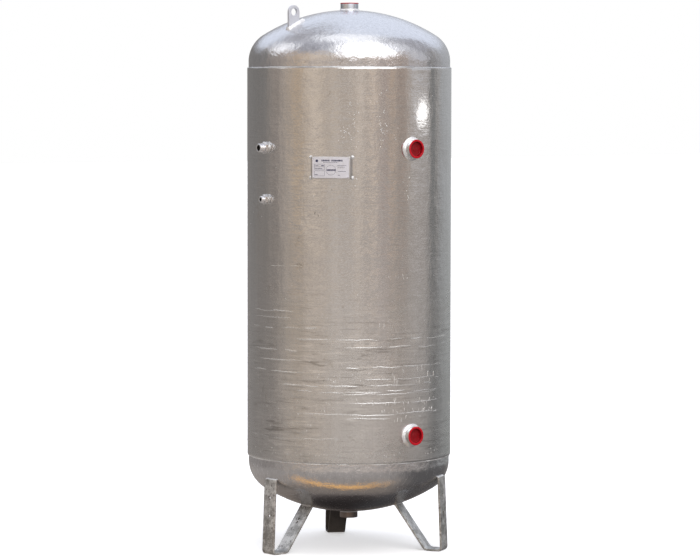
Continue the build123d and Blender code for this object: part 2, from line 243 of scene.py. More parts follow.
# What the tank's mirror-like zinc sees round it: warm hall walls, bright soft boxes overhead and
# a cool daylit side. Each panel is (bearing from, to, elevation from, to, softness in degrees,
# colour), with bearings counted from the camera's, positive to its right.
LOW, WALL_TOP = -40, 27
ROOM_PANELS = (
    (-180, -98, LOW, WALL_TOP, 26, (0.24, 0.23, 0.225)),
    (-100, -80, LOW, WALL_TOP, 14, (0.38, 0.33, 0.30)),
    (-68, -52, LOW, WALL_TOP, 9, (0.66, 0.51, 0.37)),
    (-50, -28, LOW, WALL_TOP, 11, (0.84, 0.71, 0.59)),
    (-22, -12, LOW, WALL_TOP, 6, (0.68, 0.58, 0.49)),
    (7, 16, LOW, WALL_TOP, 6, (0.76, 0.65, 0.56)),
    (22, 31, LOW, WALL_TOP, 6, (0.84, 0.69, 0.57)),
    (34, 45, LOW, WALL_TOP, 7, (0.48, 0.39, 0.35)),
    (45, 52, LOW, WALL_TOP, 5, (0.64, 0.49, 0.38)),
    (55, 68, LOW, WALL_TOP, 9, (0.44, 0.35, 0.30)),
    (72, 104, 0.5, WALL_TOP, 9, (0.70, 0.70, 0.74)),
    (84, 103, LOW, 1, 8, (0.50, 0.46, 0.44)),
    (103, 116, LOW, WALL_TOP, 10, (0.24, 0.245, 0.25)),
    (118, 182, LOW, WALL_TOP, 14, (0.50, 0.51, 0.53)),
    (100, 128, LOW, -3, 10, (0.17, 0.17, 0.17)),
    (128, 182, LOW, -3, 10, (0.34, 0.35, 0.34)),
    (-180, 95, LOW - 60, -6, 9, (0.50, 0.47, 0.45)),
    (95, 180, LOW - 60, -9, 9, (0.14, 0.14, 0.14)),
    (-180, -95, LOW - 60, -6, 12, (0.24, 0.22, 0.21)),
    (-180, 180, WALL_TOP, 95, 8, (0.62, 0.63, 0.69)),
    (-128, -84, LOW, -1.4, 3, (0.27, 0.245, 0.23)),
    (-84, -50, LOW, -1.4, 4, (0.43, 0.385, 0.35)),
    (-50, -26, LOW, -1.4, 4, (0.53, 0.465, 0.42)),
    (-24, 6, LOW, -2.2, 5, (0.63, 0.575, 0.54)),
    (14, 48, LOW, -2.0, 5, (0.49, 0.445, 0.42)),
    (48, 100, LOW, -2.0, 4, (0.41, 0.375, 0.35)),
    (-108, -80, 20, 46, 8, (1.45, 1.45, 1.50)),
    (-73, -40, 27, 56, 8, (0.42, 0.42, 0.46)),
    (-24, -9, 27, 60, 8, (0.95, 0.95, 0.98)),
    (-8, 56, 14, 68, 10, (2.6, 2.6, 2.65)),
    (55, 73, 28, 60, 8, (0.98, 0.98, 1.04)),
    (73, 89, 28, 58, 8, (0.82, 0.83, 0.88)),
    (91, 124, 24, 62, 8, (0.46, 0.46, 0.50)),
    (126, 234, 18, 72, 16, (0.94, 1.0, 1.14)),
    (-168, -104, 44, 66, 10, (0.50, 0.50, 0.54)),
    (-180, 180, 70, 95, 8, (1.40, 1.42, 1.48)),
)
WALL_COLOUR = (0.56, 0.475, 0.405)
# What it sees on the floor, ring by ring: (distance from the axis, softness, colour beyond it)
FLOOR_RINGS = (
    (0.20, 0.06, (0.15, 0.13, 0.125)),
    (0.29, 0.08, (0.26, 0.225, 0.20)),
    (0.56, 0.08, (0.37, 0.335, 0.31)),
    (0.95, 0.5, (0.40, 0.37, 0.35)),
)
STRIP = (0.455, 0.535, 0.74, (1.20, 0.66, 0.22))  # near and far side, reach to the left, colour
STRIP_FADE = (-0.02, 0.60)  # where the strip begins and ends to fade on the right
FLOOR_UNDER = (0.035, 0.030, 0.030)
FLOOR_DARK_SIDE = (52, 150, 40, 0.85, (0.07, 0.07, 0.075))  # bearings, softness, share, colour
FLOOR_SHEEN = (0.26, 0.25, 0.24, 1)  # what dull surfaces get back from it
FLOOR_FADE = (1.6, 3.2)  # distances between which the mirrored floor gives way to the walls
FLOOR_REACH = 60.0


SPOT_SIZE, SPOT_ENERGY = (0.19, 0.09), 0.075
SPOT_RADIUS, SPOT_HEIGHT = 0.833, 1.705
SPOT_BEARING, SPOT_AIM = math.radians(70.2), math.radians(45)  # counted from the camera's


def relative_bearing(t, x, y):
    """The bearing of a direction counted from the camera's, in degrees, from node sockets."""
    bearing = t.math("DEGREES", t.math("ARCTAN2", x, t.times(y, -1.0)))
    return t.math("SUBTRACT", bearing, math.degrees(VIEW_BEARING))


def between_bearings(t, bearing, low, high, soft):
    """A mask that is 1 between two bearings, with soft edges."""
    away = t.math("WRAP", t.math("SUBTRACT", bearing, (low + high) / 2), 180.0, -180.0)
    half = (high - low) / 2
    return t.remap(t.math("ABSOLUTE", away), half - soft / 2, half + soft / 2, 1.0, 0.0)


def build_world():
    """White for the camera, and for everything else a room of soft panels."""
    world = bpy.data.worlds.new("studio")
    bpy.context.scene.world = world
    t = Tree(world)
    split = t.add("ShaderNodeSeparateXYZ")
    t.put(split.inputs[0], t.add("ShaderNodeTexCoord").outputs["Generated"])
    x, y, z = split.outputs
    bearing = relative_bearing(t, x, y)
    elevation = t.math("DEGREES", t.math("ARCSINE", z))
    colour = WALL_COLOUR
    for bearing_from, bearing_to, low, high, soft, tint in ROOM_PANELS:
        mask = t.times(t.remap(elevation, low - soft / 2, low + soft / 2),
                       t.remap(elevation, high - soft / 2, high + soft / 2, 1.0, 0.0))
        if bearing_to - bearing_from < 360:
            mask = t.times(mask, between_bearings(t, bearing, bearing_from, bearing_to, soft))
        colour = t.mix(mask, colour, tint)
    room = t.add("ShaderNodeBackground")
    t.put(room.inputs[0], colour)
    white = t.add("ShaderNodeBackground")
    white.inputs[0].default_value = (1, 1, 1, 1)
    seen = t.either("Is Camera Ray", room.outputs[0], white.outputs[0])
    t.put(t.add("ShaderNodeOutputWorld").inputs[0], seen)


def floor_seen_by_zinc(t):
    """The hall's darker floor, as a glow: rings round the axis, a warm strip and a dark right side."""
    split = t.add("ShaderNodeSeparateXYZ")
    t.put(split.inputs[0], t.add("ShaderNodeTexCoord").outputs["Object"])
    x, y = split.outputs[:2]
    radius = t.math("SQRT", t.plus(t.times(x, x), t.times(y, y)))
    colour = FLOOR_UNDER
    for distance, soft, tint in FLOOR_RINGS:
        colour = t.mix(t.remap(radius, distance - soft / 2, distance + soft / 2), colour, tint)
    out = outward(VIEW_BEARING)
    ahead = t.plus(t.times(x, out.x), t.times(y, out.y))
    aside = t.math("SUBTRACT", t.times(y, out.x), t.times(x, out.y))
    near, far, reach, tint = STRIP
    strip = t.times(t.remap(ahead, near - 0.02, near + 0.02),
                    t.remap(ahead, far - 0.03, far + 0.03, 1.0, 0.0))
    strip = t.times(strip, t.remap(aside, -reach - 0.1, -reach + 0.1))
    strip = t.times(strip, t.remap(aside, *STRIP_FADE, 1.0, 0.0))
    bearing_from, bearing_to, soft, share, dark = FLOOR_DARK_SIDE
    side = between_bearings(t, relative_bearing(t, x, y), bearing_from, bearing_to, soft)
    colour = t.mix(t.times(side, share), colour, dark)
    return radius, t.glow(t.mix(strip, colour, tint))


def add_floor():
    """A wide pale floor, which the zinc sees only near the tank, as the hall's darker one."""
    mesh = bpy.data.meshes.new("floor")
    corners = [(x * FLOOR_REACH, y * FLOOR_REACH, 0) for x, y in ((-1, -1), (1, -1), (1, 1), (-1, 1))]
    mesh.from_pydata(corners, [], [(0, 1, 2, 3)])
    floor = bpy.data.objects.new("floor", mesh)
    bpy.context.scene.collection.objects.link(floor)
    material = bpy.data.materials.new("pale_floor")
    t = Tree(material)
    pale = t.add("ShaderNodeBsdfPrincipled")
    pale.inputs["Base Color"].default_value = (0.93, 0.93, 0.93, 1)
    pale.inputs["Roughness"].default_value = 0.9
    pale.inputs["Specular IOR Level"].default_value = 0.0
    pale.inputs["Emission Color"].default_value = (1, 1, 1, 1)
    pale.inputs["Emission Strength"].default_value = 0.42
    radius, hall = floor_seen_by_zinc(t)
    clear = t.add("ShaderNodeBsdfTransparent").outputs[0]
    mirrored = t.blend(t.remap(radius, *FLOOR_FADE), hall, clear)
    seen = t.either("Is Glossy Ray", t.glow(FLOOR_SHEEN), mirrored)
    t.put(t.add("ShaderNodeOutputMaterial").inputs[0], t.either("Is Camera Ray", seen, pale.outputs[0]))
    mesh.materials.append(material)


def add_spot():
    """A small soft light on the right, whose mirror image lies above the upper port."""
    data = bpy.data.lights.new("side_light", "AREA")
    data.shape = "ELLIPSE"
    data.size, data.size_y = SPOT_SIZE
    data.energy = SPOT_ENERGY
    light = bpy.data.objects.new("side_light", data)
    bpy.context.scene.collection.objects.link(light)
    light.visible_camera = False
    level = Vector((0, 0, SPOT_HEIGHT))
    light.location = level + outward(VIEW_BEARING + SPOT_BEARING) * SPOT_RADIUS
    target = level + outward(VIEW_BEARING + SPOT_AIM) * shell_radius
    light.rotation_euler = (target - light.location).to_track_quat("-Z", "Y").to_euler()


add_camera()
build_world()
add_floor()
add_spot()
bpy.context.scene.view_settings.view_transform = "Standard"


# ---------------------------------------------------------------------------------------------
# Materials
# ---------------------------------------------------------------------------------------------


def new_material(name, metallic=0.0):
    """A material, its node tree and its shader."""
    material = bpy.data.materials.new(name)
    t = Tree(material)
    shader = t.add("ShaderNodeBsdfPrincipled")
    shader.inputs["Metallic"].default_value = metallic
    return material, t, shader


def finish_material(t, shader, colour, roughness, normal=None):
    """Joins colour, roughness and normal to the shader, and the shader to the output."""
    t.put(shader.inputs["Base Color"], colour)
    t.put(shader.inputs["Roughness"], roughness)
    if normal is not None:
        t.put(shader.inputs["Normal"], normal)
    t.put(t.add("ShaderNodeOutputMaterial").inputs[0], shader.outputs[0])


def zinc(name, dark, light, gloss, grain=1.0, stain_share=0.25, metallic=1.0):
    """Hot-dip zinc: soft clouds, faint grain, dull oxide patches and a lumpy skin.

    gloss is the (smoothest, dullest) roughness; grain scales the bump; metallic is lower where
    a skin of white oxide hides the metal.
    """
    material, t, shader = new_material(name, metallic)
    fine = t.noise(300, 4, 0.65)
    tone = t.plus(t.times(t.noise(9, 5, 0.6), 0.6), t.times(fine, 0.4))
    colour = t.mix(t.remap(tone, 0.34, 0.66), dark, light)
    colour = t.layer(colour, (0.30, 0.25, 0.20), t.noise(14, 6, 0.7), 0.54, 0.74, stain_share)
    roughness = t.remap(tone, 0.3, 0.7, *gloss, smooth=False)
    normal = t.bump(t.noise(60, 2, 0.5), 0.16 * grain, 0.8 * MM)
    normal = t.bump(t.noise(420, 3, 0.65), 0.35 * grain, 0.12 * MM, normal)
    finish_material(t, shader, colour, roughness, normal)
    return material


def zinc_leg(name):
    """The legs' zinc: matt grey flat bar, blotched with bright and dark patches and small pits."""
    material, t, shader = new_material(name, 0.85)
    fine = t.noise(260, 4, 0.65)
    tone = t.plus(t.times(t.noise(24, 5, 0.62), 0.6), t.times(fine, 0.4))
    colour = t.mix(t.remap(tone, 0.40, 0.60), (0.36, 0.355, 0.34), (0.80, 0.80, 0.785))
    colour = t.layer(colour, (0.14, 0.125, 0.115), t.noise(75, 5, 0.7), 0.565, 0.64, 0.8)
    colour = t.layer(colour, (0.88, 0.88, 0.87), t.noise(48, 4, 0.65), 0.55, 0.66, 0.6)
    roughness = t.remap(tone, 0.35, 0.65, 0.36, 0.56, smooth=False)
    normal = t.bump(fine, 0.4, 0.15 * MM, t.bump(t.noise(70, 4, 0.6), 0.45, 0.7 * MM))
    finish_material(t, shader, colour, roughness, normal)
    return material


def zinc_head(name, underside_shade_share, gloss):
    """A pressed head's zinc: bright grey with drawn-out flow marks, and painted shade darkening it where it
    faces down.
    """
    material, t, shader = new_material(name, 1.0)
    mottle = t.noise(70, 4, 0.6, stretch=(1, 1, 0.6))
    tone = t.plus(t.times(mottle, 0.45), t.times(t.noise(340, 3, 0.6), 0.55))
    colour = t.mix(t.remap(tone, 0.32, 0.68), (0.62, 0.62, 0.635), (0.76, 0.76, 0.775))
    colour = t.layer(colour, (0.56, 0.55, 0.55), t.noise(4, 5, 0.6), 0.45, 0.7, 0.25)
    colour = t.layer(colour, (0.36, 0.33, 0.30), t.noise(26, 5, 0.72), 0.62, 0.72, 0.4)
    # Painted shade: the colour darkens towards the bottom head's apex, where the underside lies in shade.
    down = t.remap(t.height(), shell_low.z - 0.085, bottom_apex + 0.02)
    painted_underside_shade = t.times(down, t.remap(t.noise(11, 5, 0.65), 0.25, 0.65, 0.7, 1.0))
    colour = t.mix(t.times(painted_underside_shade, underside_shade_share), colour, (0.24, 0.215, 0.205))
    normal = t.bump(t.noise(11, 4, 0.6, stretch=(1, 1, 1.5)), 0.75, 4.0 * MM)
    normal = t.bump(t.noise(27, 5, 0.65, distortion=1.2), 0.60, 2.2 * MM, normal)
    normal = t.bump(mottle, 0.50, 1.0 * MM, normal)
    normal = t.bump(t.noise(420, 3, 0.65), 0.25, 0.12 * MM, normal)
    finish_material(t, shader, colour, t.remap(tone, 0.3, 0.7, *gloss, smooth=False), normal)
    return material


def zinc_shell(name):
    """The shell's zinc: bright and mirror-like towards the top, duller and more matt lower down."""
    material, t, shader = new_material(name, 1.0)
    height = t.height()
    patches = t.noise(3.5, 5, 0.6)
    streaks = t.noise(1.0, 4, 0.6, stretch=(30, 30, 2.0))
    speckle = t.noise(1.0, 4, 0.6, stretch=(120, 120, 330))
    tone = t.plus(t.times(streaks, 0.3), t.times(speckle, 0.7))
    colour = t.mix(t.remap(tone, 0.34, 0.66), (0.625, 0.62, 0.61), (0.735, 0.73, 0.725))
    colour = t.layer(colour, (0.56, 0.54, 0.50), patches, 0.48, 0.72, 0.22)

    smears = t.noise(1.0, 5, 0.62, stretch=(7, 7, 95), distortion=0.5)
    smear_field = t.remap(t.noise(2.6, 3, 0.5), 0.40, 0.62)
    lower_half = t.remap(height, 0.80, 1.15, 1.0, 0.0)
    smear_share = t.times(lower_half, t.plus(t.times(smear_field, 0.8), 0.12))
    colour = t.layer(colour, (0.90, 0.89, 0.87), smears, 0.54, 0.66, t.times(smear_share, 0.85))
    colour = t.layer(colour, (0.37, 0.355, 0.34), smears, 0.46, 0.34, t.times(smear_share, 0.9))

    wrinkles = t.noise(1.0, 4, 0.6, stretch=(16, 16, 120), distortion=0.4)
    wrinkle_share = t.remap(t.noise(4.2, 3, 0.5), 0.40, 0.58)
    colour = t.layer(colour, (0.88, 0.875, 0.865), wrinkles, 0.52, 0.66, t.times(wrinkle_share, 0.16))
    colour = t.layer(colour, (0.42, 0.40, 0.38), wrinkles, 0.47, 0.34, t.times(wrinkle_share, 0.13))
    colour = t.layer(colour, (0.38, 0.34, 0.28), t.noise(10, 6, 0.72), 0.63, 0.74, 0.45)

    low = t.remap(height, 0.55, 1.45, 1.0, 0.0)
    dull = t.plus(t.times(low, 0.13), t.times(t.remap(speckle, 0.3, 0.7), 0.06))
    dull = t.plus(dull, t.times(t.remap(patches, 0.4, 0.7), 0.05))
    normal = t.bump(t.noise(8, 4, 0.55, stretch=(1, 1, 0.45)), 0.85, 3.2 * MM)
    normal = t.bump(t.noise(22, 4, 0.6, stretch=(1, 1, 0.8)), 0.75, 1.7 * MM, normal)
    normal = t.bump(t.noise(70, 4, 0.65), 0.45, 0.5 * MM, normal)
    normal = t.bump(wrinkles, t.times(wrinkle_share, 0.85), 0.4 * MM, normal)
    normal = t.bump(smears, t.times(smear_share, 0.8), 0.45 * MM, normal)
    normal = t.bump(speckle, 0.28, 0.16 * MM, normal)
    finish_material(t, shader, colour, t.plus(dull, 0.12), normal)
    return material


def red_plastic(name, shade=1.0):
    """Moulded polyethylene: deep red, satin, with faint flow marks and scuffs; a shade below 1 darkens it all
    as painted shade.
    """
    material, t, shader = new_material(name)
    tints = (0.54, 0.004, 0.014), (0.66, 0.008, 0.022), (0.70, 0.06, 0.06)
    plain, flowed, scuffed = [tuple(shade * part for part in tint) for tint in tints]
    flow = t.noise(60, 4, 0.6, distortion=0.6)
    scuffs = t.remap(t.noise(320, 4, 0.7), 0.55, 0.75)
    colour = t.mix(t.remap(flow, 0.3, 0.7), plain, flowed)
    colour = t.mix(t.times(scuffs, 0.12), colour, scuffed)
    shader.inputs["Specular IOR Level"].default_value = 0.28
    normal = t.bump(t.noise(500, 3, 0.6), 0.15, 0.1 * MM)
    finish_material(t, shader, colour, t.remap(scuffs, 0, 1, 0.28, 0.5), normal)
    return material


def satin_aluminium(name):
    """The rating plate's sheet: fine brushing along its length."""
    material, t, shader = new_material(name, 0.4)
    brushing = t.noise(1.0, 3, 0.6, stretch=(30, 30, 1500))
    colour = t.mix(brushing, (0.78, 0.775, 0.84), (0.88, 0.875, 0.93))
    colour = t.layer(colour, (0.45, 0.42, 0.38), t.noise(45, 5, 0.65), 0.5, 0.75, 0.35)
    roughness = t.remap(brushing, 0.3, 0.7, 0.38, 0.55)
    finish_material(t, shader, colour, roughness, t.bump(brushing, 0.15, 0.05 * MM))
    return material


def ink(name):
    """The plate's dark print, slightly worn."""
    material, t, shader = new_material(name)
    wear = t.remap(t.noise(420, 4, 0.7), 0.5, 0.8)
    colour = t.mix(wear, (0.02, 0.022, 0.085), (0.09, 0.09, 0.16))
    finish_material(t, shader, colour, t.remap(wear, 0, 1, 0.45, 0.6))
    return material


MATERIALS = {
    "shell": zinc_shell("zinc_shell"),
    # The second argument is the share of painted underside shade: none on the top head, 0.9 on the bottom
    # one.
    "head": zinc_head("zinc_head", 0.0, (0.14, 0.28)),
    "bottom": zinc_head("zinc_bottom_head", 0.9, (0.16, 0.30)),
    "bead": zinc("zinc_bead", (0.70, 0.70, 0.70), (0.92, 0.92, 0.92), (0.24, 0.5), 1.6, 0.10, 0.7),
    "girth": zinc("zinc_girth", (0.52, 0.52, 0.52), (0.80, 0.80, 0.80), (0.22, 0.45), 1.6, metallic=0.9),
    "port_bead": zinc("white_bead", (0.84, 0.84, 0.85), (0.96, 0.96, 0.96), (0.26, 0.44), 1.6, 0.04, 0.45),
    "fitting": zinc("zinc_fitting", (0.64, 0.64, 0.655), (0.90, 0.90, 0.92), (0.13, 0.28), 0.7, 0.2),
    "nipple": zinc("zinc_nipple", (0.80, 0.80, 0.82), (0.96, 0.96, 0.98), (0.10, 0.20), 0.5, 0.15),
    "top_fitting": zinc("zinc_top_fitting", (0.46, 0.50, 0.56), (0.74, 0.79, 0.87), (0.2, 0.4), 1.0, 0.4),
    # The back leg's zinc is near-black as painted shade: that leg stands in shadow, its metal is no darker
    # than the others.
    "painted_shade_leg": zinc("zinc_painted_shade_leg", (0.07, 0.066, 0.062), (0.16, 0.15, 0.142), (0.4, 0.6), 1.4, 0.4),
    "leg": zinc_leg("zinc_leg"),
    "run": zinc("zinc_run", (0.80, 0.80, 0.79), (0.96, 0.96, 0.95), (0.20, 0.36), 0.6, 0.0, 0.7),
    "mark": zinc("dark_mark", (0.34, 0.33, 0.31), (0.46, 0.45, 0.43), (0.4, 0.6), 0.6, 0.2),
    # Near-black painted shade for the insides of bores, where the hollow lies in shade.
    "dark": zinc("painted_shade_bore", (0.05, 0.045, 0.04), (0.10, 0.09, 0.08), (0.6, 0.8), 0.6, 0.3),
    "lug": zinc("zinc_lug", (0.60, 0.62, 0.68), (0.76, 0.78, 0.84), (0.35, 0.55), 1.0, 0.1, 0.4),
    "bracket": zinc("zinc_bracket", (0.50, 0.49, 0.48), (0.68, 0.67, 0.66), (0.28, 0.5)),
    # Darker, browner zinc for the drain: partly painted shade and reflection of its place under the tank,
    # partly rust and dirt.
    "drain": zinc("zinc_drain_shade_and_rust", (0.22, 0.19, 0.18), (0.38, 0.33, 0.31), (0.35, 0.6), 1.0, 0.6),
    "red": red_plastic("red_plastic"),
    # A half-bright copy of the red, painted as shade inside the plugs' cups.
    "red_painted_shade": red_plastic("red_plastic_painted_shade", 0.5),
    "plate": satin_aluminium("satin_plate"),
    "ink": ink("plate_ink"),
}


# ---------------------------------------------------------------------------------------------
# Mesh helpers
# ---------------------------------------------------------------------------------------------


def wander(point, scale, seed=0.0):
    """Smooth noise from -1 to 1 at a point; scale is the rough size of its lumps in metres."""
    return noise.noise(Vector(point) / scale + Vector((seed, 3.7 * seed, -seed)))


def new_piece(name, vertices, faces, material, smooth_angle=40):
    """A mesh piece made of the given faces, shaded smooth except at sharp edges."""
    mesh = bpy.data.meshes.new(name)
    mesh.from_pydata([tuple(v) for v in vertices], [], faces)
    mesh.validate()
    piece = bpy.data.objects.new(name, mesh)
    bpy.context.scene.collection.objects.link(piece)
    mesh.materials.append(MATERIALS[material])
    tidy_mesh(piece, smooth_angle)
    return piece


def tidy_mesh(piece, smooth_angle=40):
    """Turns every face outwards and shades the piece smooth, sharp over the given angle."""
    bm = bmesh.new()
    bm.from_mesh(piece.data)
    bmesh.ops.remove_doubles(bm, verts=bm.verts, dist=1e-6)
    bmesh.ops.recalc_face_normals(bm, faces=bm.faces)
    bm.to_mesh(piece.data)
    bm.free()
    piece.data.polygons.foreach_set("use_smooth", [True] * len(piece.data.polygons))
    piece.data.set_sharp_from_angle(angle=math.radians(smooth_angle))
    piece.data.update()


def settle(piece, body, *replaced, slot=None):
    """Puts a finished piece on its body, in place of CAD nodes."""
    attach(piece, body)
    if replaced:
        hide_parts(*replaced)
    return piece


def loop_faces(rows, columns, closed_rows=False):
    """Quads that join rings of vertices, numbered ring by ring; closed_rows joins the last to the first."""
    faces = []
    for i in range(rows if closed_rows else rows - 1):
        for j in range(columns):
            i2, j2 = (i + 1) % rows, (j + 1) % columns
            faces.append((i * columns + j, i * columns + j2, i2 * columns + j2, i2 * columns + j))
    return faces


def capped(rows, columns):
    """The faces of a tube of rings, with a cap at each end."""
    last = (rows - 1) * columns
    return loop_faces(rows, columns) + [tuple(range(columns)), tuple(range(last, last + columns))]


class Parts:
    """Many small shapes gathered into one mesh."""

    def __init__(self):
        self.vertices, self.faces = [], []

    def add(self, vertices, faces):
        shift = len(self.vertices)
        self.vertices += vertices
        self.faces += [tuple(v + shift for v in face) for face in faces]

    def piece(self, name, material, smooth_angle=40):
        return new_piece(name, self.vertices, self.faces, material, smooth_angle)


def lathe(name, profile, material, place=None, segments=96, shift=None, smooth_angle=40):
    """A solid of revolution about local Z. The profile is a closed outline of (radius, height).

    shift(point, index) may move each vertex; index counts along the profile.
    """
    vertices = []
    for index, (radius, height) in enumerate(profile):
        for j in range(segments):
            angle = 2 * math.pi * j / segments
            point = Vector((radius * math.cos(angle), radius * math.sin(angle), height))
            vertices.append(shift(point, index) if shift else point)
    if place is not None:
        vertices = [place @ v for v in vertices]
    faces = loop_faces(len(profile), segments, closed_rows=True)
    return new_piece(name, vertices, faces, material, smooth_angle)


def arc(centre, radius, start, end, count):
    """Points on an arc, ends included; angles in radians."""
    turns = [start + (end - start) * i / (count - 1) for i in range(count)]
    return [(centre[0] + radius * math.cos(a), centre[1] + radius * math.sin(a)) for a in turns]


def line(start, end, count):
    """Evenly spaced points on a line, without its last point."""
    return [tuple(a + (b - a) * i / count for a, b in zip(start, end)) for i in range(count)]


def corner_arc(before, corner, after, radius, count):
    """Points round a corner between its two neighbours, or the corner itself where it is straight."""
    here = Vector(corner)
    back, on = (Vector(before) - here).normalized(), (Vector(after) - here).normalized()
    angle = back.angle(on)
    if radius <= 0 or angle > math.pi - 0.01:
        return [tuple(here)]
    centre = here + (back + on).normalized() * radius / math.sin(angle / 2)
    start = here + back * (radius / math.tan(angle / 2)) - centre
    turn = (math.pi - angle) * (1 if back.cross(on) < 0 else -1)
    return [tuple(centre + Matrix.Rotation(turn * k / count, 2) @ start) for k in range(count + 1)]


def rounded(points, radii, count=5):
    """A closed outline with its corners rounded to the given radii."""
    outline = []
    for i, corner in enumerate(points):
        radius = radii[i] if hasattr(radii, "__len__") else radii
        outline += corner_arc(points[i - 1], corner, points[(i + 1) % len(points)], radius, count)
    return outline


def rectangle(width, height, radius, count):
    """The outline of a rectangle round the origin, with rounded corners."""
    x, y = width / 2, height / 2
    return rounded([(-x, -y), (x, -y), (x, y), (-x, y)], radius, count)


def bent_line(points, radii, count, step):
    """An open line with its inner corners rounded, divided evenly, about a step apart."""
    bent = [tuple(points[0])]
    for i, radius in enumerate(radii, 1):
        bent += corner_arc(points[i - 1], points[i], points[i + 1], radius, count)
    bent.append(tuple(points[-1]))
    even = []
    for first, second in zip(bent, bent[1:]):
        even += line(first, second, max(1, int((Vector(second) - Vector(first)).length / step)))
    return [Vector(p) for p in even + [bent[-1]]]


def bar_along(name, path, section, skin, material, smooth_angle):
    """A bar along a flat path. skin(point, aside, t, w) places each corner (t, w) of its section."""
    vertices = []
    for i, point in enumerate(path):
        along = (path[min(i + 1, len(path) - 1)] - path[max(i - 1, 0)]).normalized()
        vertices += [skin(point, Vector((along.y, -along.x)), t, w) for t, w in section]
    return new_piece(name, vertices, capped(len(path), len(section)), material, smooth_angle)


def prism(outline, place, low, high):
    """The vertices and faces of a flat outline drawn up from one height to another."""
    n = len(outline)
    vertices = [place @ Vector((x, y, z)) for z in (low, high) for x, y in outline]
    sides = [(k, (k + 1) % n, n + (k + 1) % n, n + k) for k in range(n)]
    return vertices, [tuple(range(n)), tuple(range(n, 2 * n))] + sides


def cut(piece, cutters):
    """Takes the cutters' solids out of a piece and removes the cutters."""
    for cutter in cutters:
        modifier = piece.modifiers.new("cut", "BOOLEAN")
        modifier.operation = "DIFFERENCE"
        modifier.solver = "EXACT"
        modifier.object = cutter
    bpy.context.view_layer.update()
    result = bpy.data.meshes.new_from_object(piece.evaluated_get(bpy.context.evaluated_depsgraph_get()))
    piece.modifiers.clear()
    old = piece.data
    piece.data = result
    bpy.data.meshes.remove(old)
    for cutter in cutters:
        bpy.data.objects.remove(cutter)


def drill(place, radius, low, high):
    """A round cutter along local Z."""
    profile = [(0.0001, low), (radius, low), (radius, high), (0.0001, high)]
    return lathe("cutter", profile, "bead", place, segments=64)


# ---------------------------------------------------------------------------------------------
# Pressure vessel
# ---------------------------------------------------------------------------------------------

SHELL_COLUMNS = 360
SHELL_ROWS = 236
SHELL_SAG = 0.5 * MM  # how far the rolled plate wanders inwards
GIRTH_RISE = 6.6 * MM  # how far the girth fillets climb the heads
MAIN_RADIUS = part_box("upper_main_coupling")[1].x
PORTS = {name: (bearing_of(f"{name}_coupling"), middle(f"{name}_coupling").z)
         for name in ("upper_main", "lower_main", "gauge", "switch")}


def shell_inset(point):
    """How far the rolled shell lies inside its true circle at a point."""
    slow = 0.5 + 0.5 * wander(point, 0.32)
    quick = 0.5 + 0.5 * wander(point, 0.09, 5.0)
    return SHELL_SAG * (0.8 * slow + 0.2 * quick)


def build_shell():
    """The rolled plate: a tube with slight hollows and rounded ends, drilled for its ports."""
    inner = shell_radius - plate
    low, high = shell_low.z, shell_high.z
    rim = 0.6 * MM
    outer = line((shell_radius, low + rim), (shell_radius, high - rim), SHELL_ROWS)
    profile = outer + [(shell_radius, high - rim), (shell_radius - rim, high), (inner, high), (inner, low),
                       (shell_radius - rim, low)]

    def shift(point, index):
        if index > len(outer):
            return point
        level = Vector((point.x, point.y, 0)).normalized()
        return point - level * shell_inset(point)

    piece = lathe("shell_skin", profile, "shell", segments=SHELL_COLUMNS, shift=shift)
    cutters = []
    for name, (bearing, height) in PORTS.items():
        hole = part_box(f"{name}_coupling")[1].z - height + 0.3 * MM
        cutters.append(drill(port_place(bearing, height), hole, -20 * MM, 20 * MM))
    cut(piece, cutters)
    tidy_mesh(piece)
    settle(piece, "tank", "shell", slot="shell_zinc")


def head_profile():
    """A dished head's outline from its rim to its centre hole and back, as (radius, height).

    Height 0 is the shell's end. Returns the outline and how many of its points are on the outside.
    """
    hole = MAIN_RADIUS + 0.3 * MM
    centre = (head_radius - knuckle_radius, head_flange)
    crown_centre = (0, apex_rise - crown_radius)
    knuckle_end = math.pi / 2 - crown_angle

    def side(inset, count):
        bend = arc(centre, knuckle_radius - inset, 0, knuckle_end, count)
        crown = crown_radius - inset
        edge = math.acos(hole / crown)
        return bend + arc(crown_centre, crown, knuckle_end, edge, 2 * count)[1:]

    outside = line((head_radius, -head_insert), (head_radius, head_flange), 8) + side(0, 34)
    inside = [(head_radius - plate, -head_insert)] + side(plate, 10)
    return outside + inside[::-1], len(outside)


def build_heads():
    """The two pressed heads, with the faint waves that pressing leaves."""
    profile, outside = head_profile()
    for name, start, sign in (("top_head", shell_high.z, 1), ("bottom_head", shell_low.z, -1)):
        tip = start + sign * (apex_rise - crown_radius)

        def shift(point, index):
            place = Vector((point.x, point.y, start + sign * point.z))
            if index >= outside:
                return place
            inwards = (Vector((0, 0, tip)) - place).normalized()
            if point.z < head_flange:
                inwards = -Vector((point.x, point.y, 0)).normalized()
            waves = 0.35 * wander(place, 0.16, 2.0) + 0.15 * wander(place, 0.055, 7.0)
            return place + inwards * 0.7 * MM * (0.5 + waves)

        material = "head" if sign > 0 else "bottom"
        piece = lathe(f"{name}_skin", profile, material, segments=320, shift=shift)
        settle(piece, "tank", name, slot="shell_zinc")


